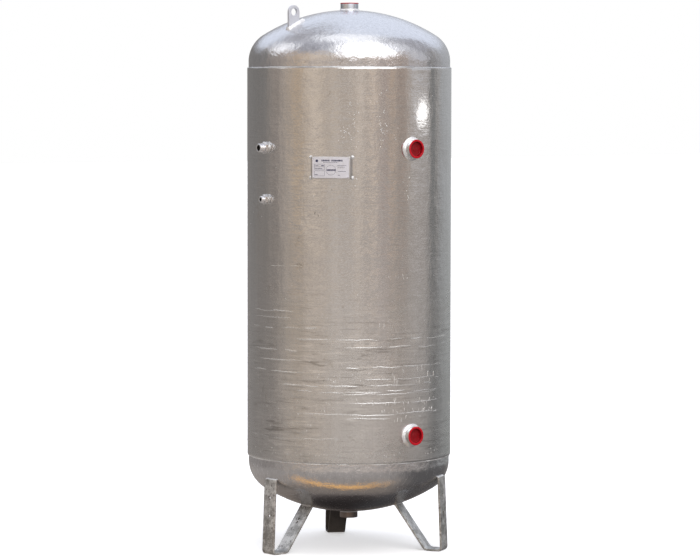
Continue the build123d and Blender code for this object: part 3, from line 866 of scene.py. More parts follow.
def build_girth_welds():
    """The two fillets at the shell's ends, uneven along their length."""
    for name, start, sign in (("top_girth_weld", shell_high.z, 1), ("bottom_girth_weld", shell_low.z, -1)):
        step = shell_radius - head_radius
        profile = [(head_radius - 1 * MM, -1 * MM), (shell_radius - 0.5 * MM, -1 * MM)]
        profile += [(head_radius + step * math.cos(a) ** 0.8, GIRTH_RISE * math.sin(a) ** 0.9)
                    for a in [math.pi / 2 * k / 6 for k in range(0, 7)]]
        profile += [(head_radius - 1 * MM, GIRTH_RISE)]

        def shift(point, index):
            place = Vector((point.x, point.y, start + sign * point.z))
            if index < 2:
                return place
            bearing = math.atan2(point.x, -point.y)
            size = 0.78 + 0.22 * wander(place, 0.06, 9.0) + 0.12 * wander(place, 0.015, 1.0)
            size = min(max(size, 0.5), 1.0)
            ripple = 0.02 * math.sin(bearing * 520 + 1.5 * point.z / MM)
            rise = point.z * (size + ripple)
            spread = (math.hypot(point.x, point.y) - head_radius) * min(1.0, size + ripple + 0.1)
            level = Vector((point.x, point.y, 0)).normalized() * (head_radius + spread)
            return Vector((level.x, level.y, start + sign * rise))

        material = "girth" if sign > 0 else "port_bead"
        piece = lathe(f"{name}_bead", profile, material, segments=1200, shift=shift, smooth_angle=60)
        settle(piece, "tank", name, slot="weld_zinc")


def build_seam_weld():
    """The long seam's cap at the back: a low bead of overlapping ripples."""
    bearing = bearing_of("shell_seam_weld")
    low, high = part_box("shell_seam_weld")
    rows, columns = 700, 9
    half = 5.0 * MM
    vertices = []
    for i in range(rows):
        height = low.z + (high.z - low.z) * i / (rows - 1)
        for j in range(columns):
            across = half * math.cos(math.pi * j / (columns - 1))
            arch = 1 - (across / half) ** 2
            ripple = 0.85 + 0.15 * math.sin(height / (1.1 * MM) + 1.2 * arch)
            bend = 0.5 * MM * wander((0, 0, height), 0.12)
            rise = (1.4 * MM * ripple + 0.3 * MM * wander((0, across, height), 0.02, 4.0)) * arch - 1.0 * MM
            turn = bearing + (across + bend) / shell_radius
            vertices.append(outward(turn) * (shell_radius + rise) + Vector((0, 0, height)))
        for j in (1, 0):
            turn = bearing + half * (1 - 2 * j) * 0.98 / shell_radius
            vertices.append(outward(-turn + 2 * bearing) * (shell_radius - 2.0 * MM) + Vector((0, 0, height)))
    piece = new_piece("seam_weld_bead", vertices, capped(rows, columns + 2), "bead", 60)
    settle(piece, "tank", "shell_seam_weld", slot="weld_zinc")


# ---------------------------------------------------------------------------------------------
# The vessel's surface, for everything that is welded to it
# ---------------------------------------------------------------------------------------------

CROWN_CENTRE_RISE = apex_rise - crown_radius


def on_vessel(point):
    """The nearest place on the vessel's outer surface, and the surface's outward normal there."""
    upper = point.z > (shell_low.z + shell_high.z) / 2
    start, sign = (shell_high.z, 1) if upper else (shell_low.z, -1)
    rise = sign * (point.z - start)
    radius = math.hypot(point.x, point.y)
    out = Vector((point.x, point.y, 0)).normalized() if radius > 1e-9 else Vector((1, 0, 0))

    def at(r, h, across, up):
        return out * r + Vector((0, 0, start + sign * h)), (out * across + Vector((0, 0, sign * up)))

    if rise < 0:
        return at(shell_radius, rise, 1, 0)
    if rise < head_flange:
        return at(head_radius, rise, 1, 0)
    bend = head_radius - knuckle_radius
    angle = math.atan2(rise - head_flange, radius - bend)
    if angle < math.pi / 2 - crown_angle:
        across, up = math.cos(angle), math.sin(angle)
        return at(bend + knuckle_radius * across, head_flange + knuckle_radius * up, across, up)
    angle = math.atan2(rise - CROWN_CENTRE_RISE, radius)
    across, up = math.cos(angle), math.sin(angle)
    return at(crown_radius * across, CROWN_CENTRE_RISE + crown_radius * up, across, up)


def fillet(name, path, height, width, material, seed):
    """A closed weld bead in the corner between a wall and the vessel, rippled and uneven.

    path is a list of (foot, away): a point where the wall meets the vessel, and the direction
    away from the wall. height is how far it climbs the wall, width how far it spreads.
    """
    steps = 7
    vertices = []
    for i, (foot, away) in enumerate(path):
        ripple = 0.06 * math.sin(i * 1.35 + seed)
        size = 0.88 + 0.16 * wander(foot, 0.02, seed) + ripple
        toe = 0.90 + 0.22 * wander(foot, 0.013, seed + 3)
        for k in range(steps):
            s = k / (steps - 1)
            place, normal = on_vessel(foot + away * width * toe * s)
            climb = height * size * ((1 - s) ** 1.35 + 0.12 * math.sin(math.pi * s))
            vertices.append(place + normal * climb)
        for s in (1.0, -0.06):
            place, normal = on_vessel(foot + away * width * toe * s)
            vertices.append(place - normal * 0.8 * MM)
    faces = loop_faces(len(path), steps + 2, closed_rows=True)
    return new_piece(name, vertices, faces, material, 60)


def ring_path(place, radius, count=220):
    """The foot of a round fitting on the vessel."""
    path = []
    for i in range(count):
        angle = 2 * math.pi * i / count
        away = place.to_3x3() @ Vector((math.cos(angle), math.sin(angle), 0))
        path.append((place.translation + away * radius, away))
    return path


# ---------------------------------------------------------------------------------------------
# Couplings, nipples and plugs
# ---------------------------------------------------------------------------------------------

PITCH = 2.309 * MM  # 11 threads to the inch
MINOR, MAJOR, MOUTH = 28.33 * MM, 29.8 * MM, 30.5 * MM
MOUTH_DEPTH = 12 * MM
INSIDE_REACH = 12 * MM

APEX_PLACE = Matrix.Translation((0, 0, top_apex))
DRAIN_PLACE = Matrix.Translation((0, 0, bottom_apex)) @ Matrix.Rotation(math.pi, 4, "X")
STAND_OFF = {
    "upper_main": -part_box("upper_main_coupling")[0].y - shell_radius,
    "lower_main": -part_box("lower_main_coupling")[0].y - shell_radius,
    "top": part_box("top_coupling")[1].z - top_apex,
    "drain": bottom_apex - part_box("drain_coupling")[0].z,
}


def place_of(port):
    """The frame of a port, with local Z pointing out of it."""
    if port == "top":
        return APEX_PLACE
    if port == "drain":
        return DRAIN_PLACE
    bearing, height = PORTS[port]
    return port_place(bearing, height)


def screwed(crest_in, crest_out):
    """A shift that turns thread rows into a helix: rows come with radius crest_in or above it."""

    def radius_at(point):
        turn = math.atan2(point.y, point.x) / (2 * math.pi)
        phase = (point.z / PITCH - turn) % 1.0
        saw = abs(2 * phase - 1)
        flat = min(max(saw * 1.5 - 0.25, 0.0), 1.0)
        return crest_in + (crest_out - crest_in) * flat

    return radius_at


def thread_rows(radius, start, end):
    """Profile points for a stretch of thread, six to a turn."""
    count = max(int(abs(end - start) / PITCH * 6), 2)
    return line((radius, start), (radius, end), count) + [(radius, end)]


def with_radius(point, radius):
    """A point moved to another distance from local Z."""
    now = math.hypot(point.x, point.y)
    return Vector((point.x * radius / now, point.y * radius / now, point.z))


def coupling(name, place, outer, stand_off, minor, major, mouth, mouth_depth, material):
    """A half coupling with rounded edges and a real internal thread."""
    edge = 1.0 * MM
    outside = [(outer - edge, -INSIDE_REACH), (outer, edge - INSIDE_REACH)]
    outside += arc((outer - edge, stand_off - edge), edge, 0, math.pi / 2, 5)
    lip = 0.5 * MM
    inside = [(mouth + lip, stand_off), (mouth, stand_off - lip), (mouth, stand_off - mouth_depth)]
    rows = thread_rows(minor, stand_off - mouth_depth - 0.4 * MM, 1 * MM - INSIDE_REACH)
    profile = outside + inside + rows + [(minor, -INSIDE_REACH)]
    first = len(outside) + len(inside)
    radius_at = screwed(minor, major)

    def shift(point, index):
        if first < index < first + len(rows) - 1:
            return with_radius(point, radius_at(point))
        if index < len(outside):
            lumps = 0.15 * MM * (0.5 + 0.5 * wander(place @ point, 0.012, 6.0))
            return with_radius(point, math.hypot(point.x, point.y) - lumps)
        return point

    return lathe(name, profile, material, place, segments=120, shift=shift)


def paint_shade_inside(piece, place, kind, radius, low=-1.0, high=1.0):
    """Gives a round piece's faces within a radius, and between two local heights, another material: painted
    shade for bores and hollows.
    """
    back = place.inverted()
    piece.data.materials.append(MATERIALS[kind])
    for face in piece.data.polygons:
        spot = back @ face.center
        if math.hypot(spot.x, spot.y) < radius and low < spot.z < high:
            face.material_index = 1


def build_couplings():
    """The four 2 inch couplings with their fillets."""
    for port in ("upper_main", "lower_main", "top", "drain"):
        place = place_of(port)
        stand_off = STAND_OFF[port]
        # The drain takes the darker zinc, partly painted shade of its place under the tank.
        material = {"drain": "drain", "top": "top_fitting"}.get(port, "fitting")
        piece = coupling(f"{port}_socket", place, MAIN_RADIUS, stand_off,
                         MINOR, MAJOR, MOUTH, MOUTH_DEPTH, material)
        if port == "drain":
            # The drain's threaded inside is painted near-black as shade.
            paint_shade_inside(piece, place, "dark", MAJOR + 0.1 * MM)
        settle(piece, "tank", f"{port}_coupling", slot="fitting_zinc")
        climb, spread = (8.6 * MM, 11.5 * MM) if port in PORTS else (6.6 * MM, 4.2 * MM)
        path = ring_path(place, MAIN_RADIUS)
        bead = fillet(f"{port}_socket_bead", path, climb, spread, "port_bead", len(port))
        settle(bead, "tank", f"{port}_coupling_weld", slot="weld_zinc")


def build_plugs():
    """The red transport plugs: a flange, a skirt in the port's mouth and a cup with a stepped floor."""
    for port in ("upper_main", "lower_main", "top"):
        place = place_of(port)
        low = STAND_OFF[port] + 0.3 * MM
        top = low + 3 * MM
        outer, skirt = 36 * MM, MOUTH - 0.3 * MM
        cup_mouth, cup_floor = 28.2 * MM, 27.0 * MM
        floor, under = top - 13 * MM, top - 14.5 * MM
        corners = [(0.05 * MM, under), (skirt, under), (skirt, low), (outer, low), (outer, top),
                   (cup_mouth, top), (cup_floor, floor), (9 * MM, floor), (8 * MM, floor + 0.8 * MM),
                   (0.05 * MM, floor + 0.8 * MM)]
        radii = [0, 1.0 * MM, 0.2 * MM, 0.7 * MM, 1.3 * MM, 1.1 * MM, 1.6 * MM, 0.4 * MM, 0.4 * MM, 0]
        piece = lathe(f"{port}_cap", rounded(corners, radii, 4), "red", place, segments=128, smooth_angle=50)
        # The cup's inside gets the darker red: painted shade in the recess.
        paint_shade_inside(piece, place, "red_painted_shade", cup_mouth, floor - 0.1 * MM, top - 1.2 * MM)
        settle(piece, f"{port}_plug", f"{port}_plug", slot="red_plastic")


SMALL_FITTINGS = {
    # port: coupling radius, minor and crest radii of its thread, nipple's hex across flats,
    # hex thickness, male thread radius and length, bore radius
    "gauge": [v * MM for v in (20.0, 15.15, 16.6, 41.0, 12.0, 16.6, 22.0, 10.8)],
    "switch": [v * MM for v in (17.0, 12.06, 13.2, 34.0, 12.0, 13.2, 13.0, 6.8)],
}
SMALL_STAND_OFF = 6 * MM
NIPPLE_GRIP = 14 * MM


def hexagon_radius(point, across_flats):
    """The distance from the axis to a hexagon's side in the direction of a point."""
    turn = (math.atan2(point.y, point.x) + math.pi / 6) % (math.pi / 3) - math.pi / 6
    return across_flats / 2 / math.cos(turn)


def nipple(name, place, fitting):
    """A hex nipple with chamfered corners and a cut thread, all under a skin of zinc."""
    _, minor, _, flats, thick, male, length, bore = fitting
    low = SMALL_STAND_OFF + 0.3 * MM
    high = low + thick
    end = high + length
    corner = flats / 2 / math.cos(math.pi / 6)
    bevel = corner - flats / 2 * 0.97
    neck = minor - 0.2 * MM
    hexagon = [(corner - bevel + bevel * t, low + 1.6 * MM * t) for t in (0, 0.25, 0.5, 0.75, 1)]
    hexagon += [(r, low + high - h) for r, h in hexagon[::-1]]
    undercut = [(male - 1.3 * MM, high), (male - 1.3 * MM, high + 2 * MM)]
    rows = thread_rows(male - 0.6 * MM, high + 2.4 * MM, end - 1.4 * MM)
    tip = [(male - 1.4 * MM, end - 0.3 * MM), (male - 1.7 * MM, end),
           (bore + 0.5 * MM, end), (bore, end - 0.5 * MM)]
    start = [(bore, SMALL_STAND_OFF - NIPPLE_GRIP), (neck, SMALL_STAND_OFF - NIPPLE_GRIP), (neck, low)]
    profile = start + hexagon + undercut + rows + tip
    hex_range = range(len(start), len(start) + len(hexagon))
    first = len(start) + len(hexagon) + len(undercut)
    radius_at = screwed(male - 1.2 * MM, male)

    def shift(point, index):
        if index in hex_range:
            own = math.hypot(point.x, point.y)
            return with_radius(point, min(own, hexagon_radius(point, flats)))
        if first <= index < first + len(rows):
            return with_radius(point, radius_at(point))
        return point

    return lathe(name, profile, "nipple", place, segments=144, shift=shift, smooth_angle=35)


def build_small_ports():
    """The gauge and switch couplings with their nipples and fillets."""
    for port, fitting in SMALL_FITTINGS.items():
        place = place_of(port)
        radius, minor, major = fitting[:3]
        socket = coupling(f"{port}_socket", place, radius, SMALL_STAND_OFF,
                          minor, major, major, 1.0 * MM, "bracket")
        settle(socket, "tank", f"{port}_coupling", slot="fitting_zinc")
        path = ring_path(place, radius, 140)
        bead = fillet(f"{port}_socket_bead", path, 4.4 * MM, 4.6 * MM, "bracket", radius * 900)
        settle(bead, "tank", f"{port}_coupling_weld", slot="weld_zinc")
        piece = nipple(f"{port}_hex_nipple", place, fitting)
        # The nipple's bore is painted near-black as shade.
        paint_shade_inside(piece, place, "dark", fitting[-1] + 0.1 * MM)
        settle(piece, "tank", f"{port}_nipple", slot="fitting_zinc")


# ---------------------------------------------------------------------------------------------
# Lifting lug
# ---------------------------------------------------------------------------------------------

LUG_BEARING = bearing_of("lifting_lug")
LUG_THICKNESS = 10 * MM
LUG_HALF_WIDTH = 26 * MM
LUG_EYE_RADIUS = 14.5 * MM
LUG_EYE = (281 * MM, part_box("lifting_lug")[1].z - LUG_HALF_WIDTH)


def slab(name, outline, holes, thickness, edge, place, material):
    """A flat plate with rounded edges, cut from an outline with round holes, in a place's XY plane."""
    curve = bpy.data.curves.new(name, "CURVE")
    curve.dimensions = "2D"
    curve.fill_mode = "BOTH"
    curve.extrude = thickness / 2 - edge
    curve.bevel_depth = edge
    curve.bevel_resolution = 3
    curve.offset = -edge
    loops = [outline] + [arc(centre, radius, 0, -2 * math.pi, 49)[:-1] for centre, radius in holes]
    for points in loops:
        spline = curve.splines.new("POLY")
        spline.points.add(len(points) - 1)
        for target, (x, y) in zip(spline.points, points):
            target.co = (x, y, 0, 1)
        spline.use_cyclic_u = True
    source = bpy.data.objects.new(name, curve)
    bpy.context.scene.collection.objects.link(source)
    bpy.context.view_layer.update()
    mesh = bpy.data.meshes.new_from_object(source.evaluated_get(bpy.context.evaluated_depsgraph_get()))
    bpy.data.objects.remove(source)
    bpy.data.curves.remove(curve)
    mesh.transform(place)
    mesh.materials.clear()
    mesh.materials.append(MATERIALS[material])
    piece = bpy.data.objects.new(name, mesh)
    bpy.context.scene.collection.objects.link(piece)
    tidy_mesh(piece, 50)
    return piece


def build_lug():
    """The eye plate and the generous bead round its foot."""
    place = radial_place(LUG_BEARING)
    centre, half = LUG_EYE[0], LUG_HALF_WIDTH

    outer, inner = centre + half, centre - half
    sunk = [(r, crown_height(r) - 2 * MM) for r in [outer - 2 * half * k / 6 for k in range(7)]]
    outline = arc(LUG_EYE, half, math.pi, 0, 33) + sunk
    eye = [(LUG_EYE, LUG_EYE_RADIUS)]
    piece = slab("lug_plate", outline[::-1], eye, LUG_THICKNESS, 0.9 * MM, place, "lug")
    settle(piece, "tank", "lifting_lug", slot="shell_zinc")

    side = LUG_THICKNESS / 2
    out = outward(LUG_BEARING)
    across = out.cross(Vector((0, 0, 1)))
    tail = inner - 21 * MM

    def half_gap(radius):
        """Half the room between the two sides of the bead: the plate's, closing beyond its end."""
        if radius > inner:
            return side
        return 0.6 * MM + (side - 0.6 * MM) * (radius - tail) / (inner - tail)

    def foot(radius, aside):
        return out * radius + across * aside + Vector((0, 0, crown_height(radius)))

    run = [outer + (tail - outer) * k / 56 for k in range(57)]
    ends = [math.pi * k / 12 for k in range(1, 12)]
    path = [(foot(radius, half_gap(radius)), across) for radius in run]
    path += [(foot(tail, half_gap(tail) * math.cos(a)), across * math.cos(a) - out * math.sin(a))
             for a in ends]
    path += [(foot(radius, -half_gap(radius)), -across) for radius in run[::-1]]
    path += [(foot(outer, -side * math.cos(a)), out * math.sin(a) - across * math.cos(a)) for a in ends]
    bead = fillet("lug_bead", path, 10 * MM, 10 * MM, "port_bead", 2.0)
    settle(bead, "tank", "lifting_lug_weld", slot="weld_zinc")


def crown_height(radius):
    """The top head's height at a distance from the axis, on its crown."""
    return top_apex - crown_radius + math.sqrt(crown_radius**2 - radius**2)


# ---------------------------------------------------------------------------------------------
# Legs
# ---------------------------------------------------------------------------------------------

LEG_BEARINGS = {f"leg_{n}": bearing_of(f"leg_{n}") for n in (1, 2, 3)}
BAR_WIDTH, BAR_THICKNESS = 70 * MM, 8 * MM
LEG_LINE = [(387 * MM, 290 * MM), (398.5 * MM, 4 * MM), (332 * MM, 4 * MM), (205 * MM, 180 * MM)]
LEG_BENDS = (11 * MM, 26 * MM)
LEG_HOLES = (150 * MM, 220 * MM)
LEG_HOLE_RADIUS = 7 * MM
ANCHOR_RADIUS, ANCHOR_HOLE = 366 * MM, 7 * MM
EARTH_HOLE_STEP = 14 / 2 * 0.811  # half their spacing along the brace, as a height
EARTH_HOLES = ((117 + EARTH_HOLE_STEP) * MM, (117 - EARTH_HOLE_STEP) * MM)
EARTH_HOLE_RADIUS = 5.5 * MM


def brace_way():
    """Unit vector up the brace, as (outwards, upwards)."""
    toe, end = Vector(LEG_LINE[2]), Vector(LEG_LINE[3])
    return (end - toe).normalized()


def bar_line():
    """The leg's centre line with its bends as arcs, as (distance out, height)."""
    beyond = Vector(LEG_LINE[3]) + brace_way() * 30 * MM  # the vessel trims it back
    return bent_line([Vector(p) for p in LEG_LINE[:3]] + [beyond], LEG_BENDS, 8, 9 * MM)


def build_legs():
    """Each leg is one flat bar with rounded edges, bent to upright, foot and brace."""
    path = bar_line()
    section = rectangle(BAR_THICKNESS, BAR_WIDTH, 1.2 * MM, 4)
    for name, bearing in LEG_BEARINGS.items():
        place = radial_place(bearing)

        def skin(point, aside, t, w):
            wave = 0.12 * MM * wander((point.x + w, point.y, w), 0.03, bearing)
            spot = point + aside * (t - wave * (1 if t > 0 else -1))
            return place @ Vector((spot.x, max(spot.y, 0.0), w))

        # leg_3 gets the near-black material, painted shade for the leg in shadow at the back.
        kind = "painted_shade_leg" if name == "leg_3" else "leg"
        piece = bar_along(f"{name}_bar", path, section, skin, kind, 45)
        cutters = [vessel_core()]
        for height in LEG_HOLES:
            cutters.append(drill(port_place(bearing, height, 395 * MM), LEG_HOLE_RADIUS, -20 * MM, 20 * MM))
        anchor = Matrix.Translation(outward(bearing) * ANCHOR_RADIUS)
        cutters.append(drill(anchor, ANCHOR_HOLE, -10 * MM, 20 * MM))
        if name == "leg_1":
            cutters += [earth_hole(bearing, height) for height in EARTH_HOLES]
        cut(piece, cutters)
        tidy_mesh(piece, 45)
        settle(piece, "tank", name, slot="leg_zinc")
        settle(leg_beads(name, bearing), "tank", f"{name}_welds", slot="weld_zinc")


def vessel_core():
    """The bottom head's outer shape, drawn in a little, for trimming the legs."""
    inset = 1.5 * MM
    bend = (head_radius - knuckle_radius, -head_flange)
    crown = crown_radius - inset
    knuckle = arc(bend, knuckle_radius - inset, 0, crown_angle - math.pi / 2, 24)
    dish = arc((0, -CROWN_CENTRE_RISE), crown, crown_angle - math.pi / 2, 0.0005 - math.pi / 2, 40)[1:]
    profile = [(0.3 * MM, 60 * MM), (head_radius - inset, 60 * MM)] + knuckle + dish
    return lathe("cutter", profile, "bead", Matrix.Translation((0, 0, shell_low.z)), segments=180)


def earth_hole(bearing, height):
    """A cutter square to the brace at a height on it."""
    way = brace_way()
    toe = Vector(LEG_LINE[2])
    spot = toe + way * (height - toe.y) / way.y
    out, up = outward(bearing), Vector((0, 0, 1))
    axis = out * way.y - up * way.x
    turn = axis.to_track_quat("Z", "Y").to_matrix().to_4x4()
    place = Matrix.Translation(out * spot.x + up * spot.y) @ turn
    return drill(place, EARTH_HOLE_RADIUS, -12 * MM, 12 * MM)


def sausage(path, radius, seed, sides=12):
    """The vertices and faces of a lumpy rod of weld along a path."""
    vertices = []
    for i, point in enumerate(path):
        ahead = path[min(i + 1, len(path) - 1)] - path[max(i - 1, 0)]
        ahead.normalize()
        first = ahead.orthogonal().normalized()
        second = ahead.cross(first)
        t = i / (len(path) - 1)
        round_end = math.sqrt(max(1 - abs(2 * t - 1) ** 8, 0.02))
        size = radius * round_end * (0.9 + 0.2 * wander(point, 0.012, seed) + 0.05 * math.sin(i * 1.9))
        for k in range(sides):
            a = 2 * math.pi * k / sides
            vertices.append(point + (first * math.cos(a) + second * math.sin(a)) * size)
    return vertices, capped(len(path), sides)


def meet_vessel(start, way):
    """Where a ray first meets the vessel's outer surface."""
    low, high = 0.0, 0.3
    for _ in range(40):
        middle_run = (low + high) / 2
        point = start + way * middle_run
        place, normal = on_vessel(point)
        if (point - place).dot(normal) > 0:
            low = middle_run
        else:
            high = middle_run
    return start + way * low


def leg_beads(name, bearing):
    """The weld along the upright's top and those above and below the brace's end."""
    out, up = outward(bearing), Vector((0, 0, 1))
    across = out.cross(up)
    count = 44
    top, toe = Vector(LEG_LINE[0]), Vector(LEG_LINE[2])
    way = brace_way()
    steep = out * way.x + up * way.y
    aside = out * way.y - up * way.x
    spread = [(k / (count - 1) - 0.5) * (BAR_WIDTH - 4 * MM) for k in range(count)]
    paths = [[out * (top.x - 2.5 * MM) + up * (top.y + 0.5 * MM) + across * w for w in spread]]
    for face in (-1, 1):
        feet = [out * toe.x + up * toe.y + across * w + aside * face * BAR_THICKNESS * 0.62 for w in spread]
        paths.append([meet_vessel(foot, steep) for foot in feet])
    parts = Parts()
    for number, path in enumerate(paths):
        parts.add(*sausage(path, 4.6 * MM if number == 0 else 4.0 * MM, bearing + number))
    return parts.piece(f"{name}_beads", "bead", 60)


# ---------------------------------------------------------------------------------------------
# Rating plate and bracket
# ---------------------------------------------------------------------------------------------

PLATE_BEARING = bearing_of("rating_plate")
PLATE_HEIGHT = middle("rating_plate").z
BRACKET_FACE = 411 * MM
BRACKET_HALF_HEIGHT = (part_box("rating_bracket")[1].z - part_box("rating_bracket")[0].z) / 2
PLATE_SIZE = (141 * MM, 79 * MM)
PLATE_SHEET = 1 * MM
CORNERS = ((-1, -1), (-1, 1), (1, -1), (1, 1))
PEN = 0.8  # the print's line width in millimetres
# The print, in millimetres from the plate's lower left corner: (kind, x, y, width, height)
PRINT = (
    ("dashes", 35, 63, 32, 6.4), ("dashes", 73, 63, 44, 6.4), ("dashes", 42, 58, 58, 1.6),
    ("frame", 7, 31, 40, 22), ("box", 7, 42, 40, PEN), ("dashes", 9, 46, 14, 2.2),
    ("box", 34, 45, 10, 3.6), ("dashes", 9, 35, 30, 2.2), ("frame", 7, 8, 40, 20),
    ("dashes", 9, 12, 12, 2.2), ("box", 96, 47, 34, 1.2), ("dashes", 97, 41, 30, 1.4),
    ("dashes", 98, 24, 32, 2.0), ("dashes", 98, 9, 8, 1.8), ("dashes", 55, 27, 34, 6.5),
)
PRINT_CIRCLE = (71, 30, 19)  # its centre and radius, in the same way
PRINT_DOT = (17, 65, 5.2)


def build_bracket():
    """The bent sheet that the plate is riveted to: a flat face and two sides sloping to the shell."""
    face, foot, sheet = BRACKET_FACE - 1 * MM, 389 * MM, 2 * MM
    wide, narrow = 80.5 * MM, 73.5 * MM
    corners = [Vector(p) for p in ((-wide, foot), (-narrow, face), (narrow, face), (wide, foot))]
    path = bent_line(corners, (3 * MM, 3 * MM), 6, 6 * MM)
    section = rectangle(sheet, 2 * BRACKET_HALF_HEIGHT, 0.5 * MM, 3)
    out = outward(PLATE_BEARING)
    side = Vector((0, 0, 1)).cross(out)
    centre = Vector((0, 0, PLATE_HEIGHT))

    def skin(point, aside, t, w):
        dent = 0.35 * MM * (0.5 + 0.5 * wander((point.x, w, 0), 0.05, 8.0))
        spot = point - aside * (t - dent)
        return centre + side * spot.x + out * spot.y + Vector((0, 0, w))

    piece = bar_along("plate_bracket", path, section, skin, "bracket", 50)
    settle(piece, "tank", "rating_bracket", slot="shell_zinc")
    build_bracket_tacks(side, centre, wide)


def build_bracket_tacks(side, centre, wide):
    """The four tack welds at the bracket's corners."""
    parts = Parts()
    for x, z in CORNERS:
        start = centre + side * x * (wide + 1 * MM) + Vector((0, 0, z * (BRACKET_HALF_HEIGHT - 4 * MM)))
        base, normal = on_vessel(start + outward(PLATE_BEARING) * shell_radius)
        ball = bmesh.new()
        bmesh.ops.create_icosphere(ball, subdivisions=3, radius=7.5 * MM)
        for v in ball.verts:
            lump = 1 + 0.22 * wander(v.co + base, 0.006, 3.0)
            flat = v.co - normal * v.co.dot(normal) * 0.3
            v.co = base + flat * lump
        parts.add([v.co.copy() for v in ball.verts], [[v.index for v in f.verts] for f in ball.faces])
        ball.free()
    settle(parts.piece("bracket_tacks", "port_bead", 60), "tank", "rating_bracket_welds", slot="weld_zinc")


def plate_place(lift):
    """The plane of the rating plate's back, moved outwards by lift."""
    return port_place(PLATE_BEARING, PLATE_HEIGHT, BRACKET_FACE + lift)


def build_plate():
    """The thin plate, its rivets and its print."""
    width, height = PLATE_SIZE
    place = plate_place(0.02 * MM + PLATE_SHEET / 2)
    outline = rectangle(width, height, 3 * MM, 6)
    piece = slab("plate_sheet", outline, [], PLATE_SHEET, 0.2 * MM, place, "plate")
    settle(piece, "tank", "rating_plate", slot="plate_aluminium")
    build_rivets(width, height)
    build_print(width, height)


def build_rivets(width, height):
    """Domed rivet heads with a small dimple from the mandrel."""
    profile = [(r * MM, h * MM) for r, h in ((0.02, 0), (2.6, 0), (2.6, 0.35), (2.3, 0.9), (1.6, 1.3),
                                             (1.0, 1.45), (0.7, 1.2), (0.02, 1.1))]
    parts = Parts()
    for x, y in CORNERS:
        spot = Matrix.Translation((x * (width / 2 - 4.5 * MM), y * (height / 2 - 4.5 * MM), 0))
        place = plate_place(PLATE_SHEET + 0.02 * MM) @ spot
        rivet = lathe("rivet", profile, "plate", place, segments=32)
        parts.add([v.co.copy() for v in rivet.data.vertices], [f.vertices for f in rivet.data.polygons])
        bpy.data.objects.remove(rivet)
    settle(parts.piece("plate_rivets", "plate", 50), "tank", "rating_plate_rivets", slot="plate_aluminium")


def print_boxes(left, bottom):
    """The corners of each box in the print, with every row of dashes drawn box by box."""
    draw = random.Random(7)
    boxes, pen = [], PEN * MM

    def box(x, y, w, h):
        boxes.append([(x, y), (x + w, y), (x + w, y + h), (x, y + h)])

    for kind, *measures in PRINT:
        x, y, w, h = [v * MM for v in measures]
        x, y = left + x, bottom + y
        if kind == "box":
            box(x, y, w, h)
        elif kind == "frame":
            box(x, y, w, pen)
            box(x, y + h - pen, w, pen)
            box(x, y, pen, h)
            box(x + w - pen, y, pen, h)
        else:
            at = x
            while at < x + w - 2 * MM:
                run = min(draw.uniform(1.6, 5.0) * MM, x + w - at)
                box(at, y, run, h)
                at += run + 0.9 * MM
    return boxes


def build_print(width, height):
    """A generic layout of rules, boxes and dashes with no lettering, printed just proud of the plate."""
    left, bottom = -width / 2, -height / 2
    x, y, radius = [v * MM for v in PRINT_CIRCLE]
    shapes = print_boxes(left, bottom) + ring_cells((left + x, bottom + y), radius, PEN * MM)
    x, y, radius = [v * MM for v in PRINT_DOT]
    shapes.append(arc((left + x, bottom + y), radius, 0, 2 * math.pi, 33)[:-1])
    place = plate_place(PLATE_SHEET + 0.02 * MM)
    parts = Parts()
    for outline in shapes:
        parts.add(*prism(outline, place, -0.02 * MM, 0.04 * MM))
    settle(parts.piece("plate_print", "ink"), "tank")


def ring_cells(centre, radius, pen, count=48):
    """A thin circle as a chain of small quadrilaterals."""
    cells = []
    for k in range(count):
        a, b = 2 * math.pi * k / count, 2 * math.pi * (k + 1) / count
        cells.append([(centre[0] + r * math.cos(t), centre[1] + r * math.sin(t))
                      for r, t in ((radius, a), (radius, b), (radius - pen, b), (radius - pen, a))])
    return cells


# ---------------------------------------------------------------------------------------------
# What the zinc bath leaves on the shell: ridges at its surface, runs, drops and a few marks
# ---------------------------------------------------------------------------------------------

# Each group is (number, bearings from and to, heights from and to, half length, half width,
# rise): bearings in degrees from the camera's, heights in metres, the rest in millimetres.
RUN_GROUPS = (
    (11, 15, 56, 0.675, 0.735, 12.0, 1.9, 1.3),
    (26, -18, 16, 0.680, 0.715, 4.5, 1.5, 0.8),
    (34, 4, 56, 0.590, 0.615, 6.0, 1.7, 1.1),
    (24, 15, 55, 0.560, 0.575, 6.0, 1.7, 1.1),
    (9, 23, 38, 0.525, 0.545, 6.5, 1.8, 1.2),
    (70, -72, 62, 0.392, 0.420, 3.2, 1.2, 0.7),
    (30, -60, -10, 0.44, 0.62, 4.0, 1.3, 0.6),
    (2, 15, 20, 0.885, 0.900, 15.0, 1.8, 1.1),
    (6, 21, 34, 1.075, 1.100, 6.0, 1.4, 0.9),
    (70, 70, 285, 0.385, 0.420, 3.2, 1.2, 0.7),
    (60, 75, 280, 0.560, 0.730, 6.0, 1.6, 0.9),
)
DROP_GROUPS = (
    (34, -1, 5, 1.41, 1.76, 2.6, 1.7, 1.1),
    (20, -6, 3, 1.53, 1.66, 2.4, 1.6, 1.0),
    (26, 15, 21, 1.57, 1.80, 2.6, 1.7, 1.1),
    (8, 29, 35, 1.37, 1.46, 4.0, 1.7, 1.1),
    (10, 25, 30, 1.54, 1.66, 2.0, 1.4, 0.9),
    (90, -80, 280, 0.60, 1.85, 1.5, 1.1, 0.6),
)
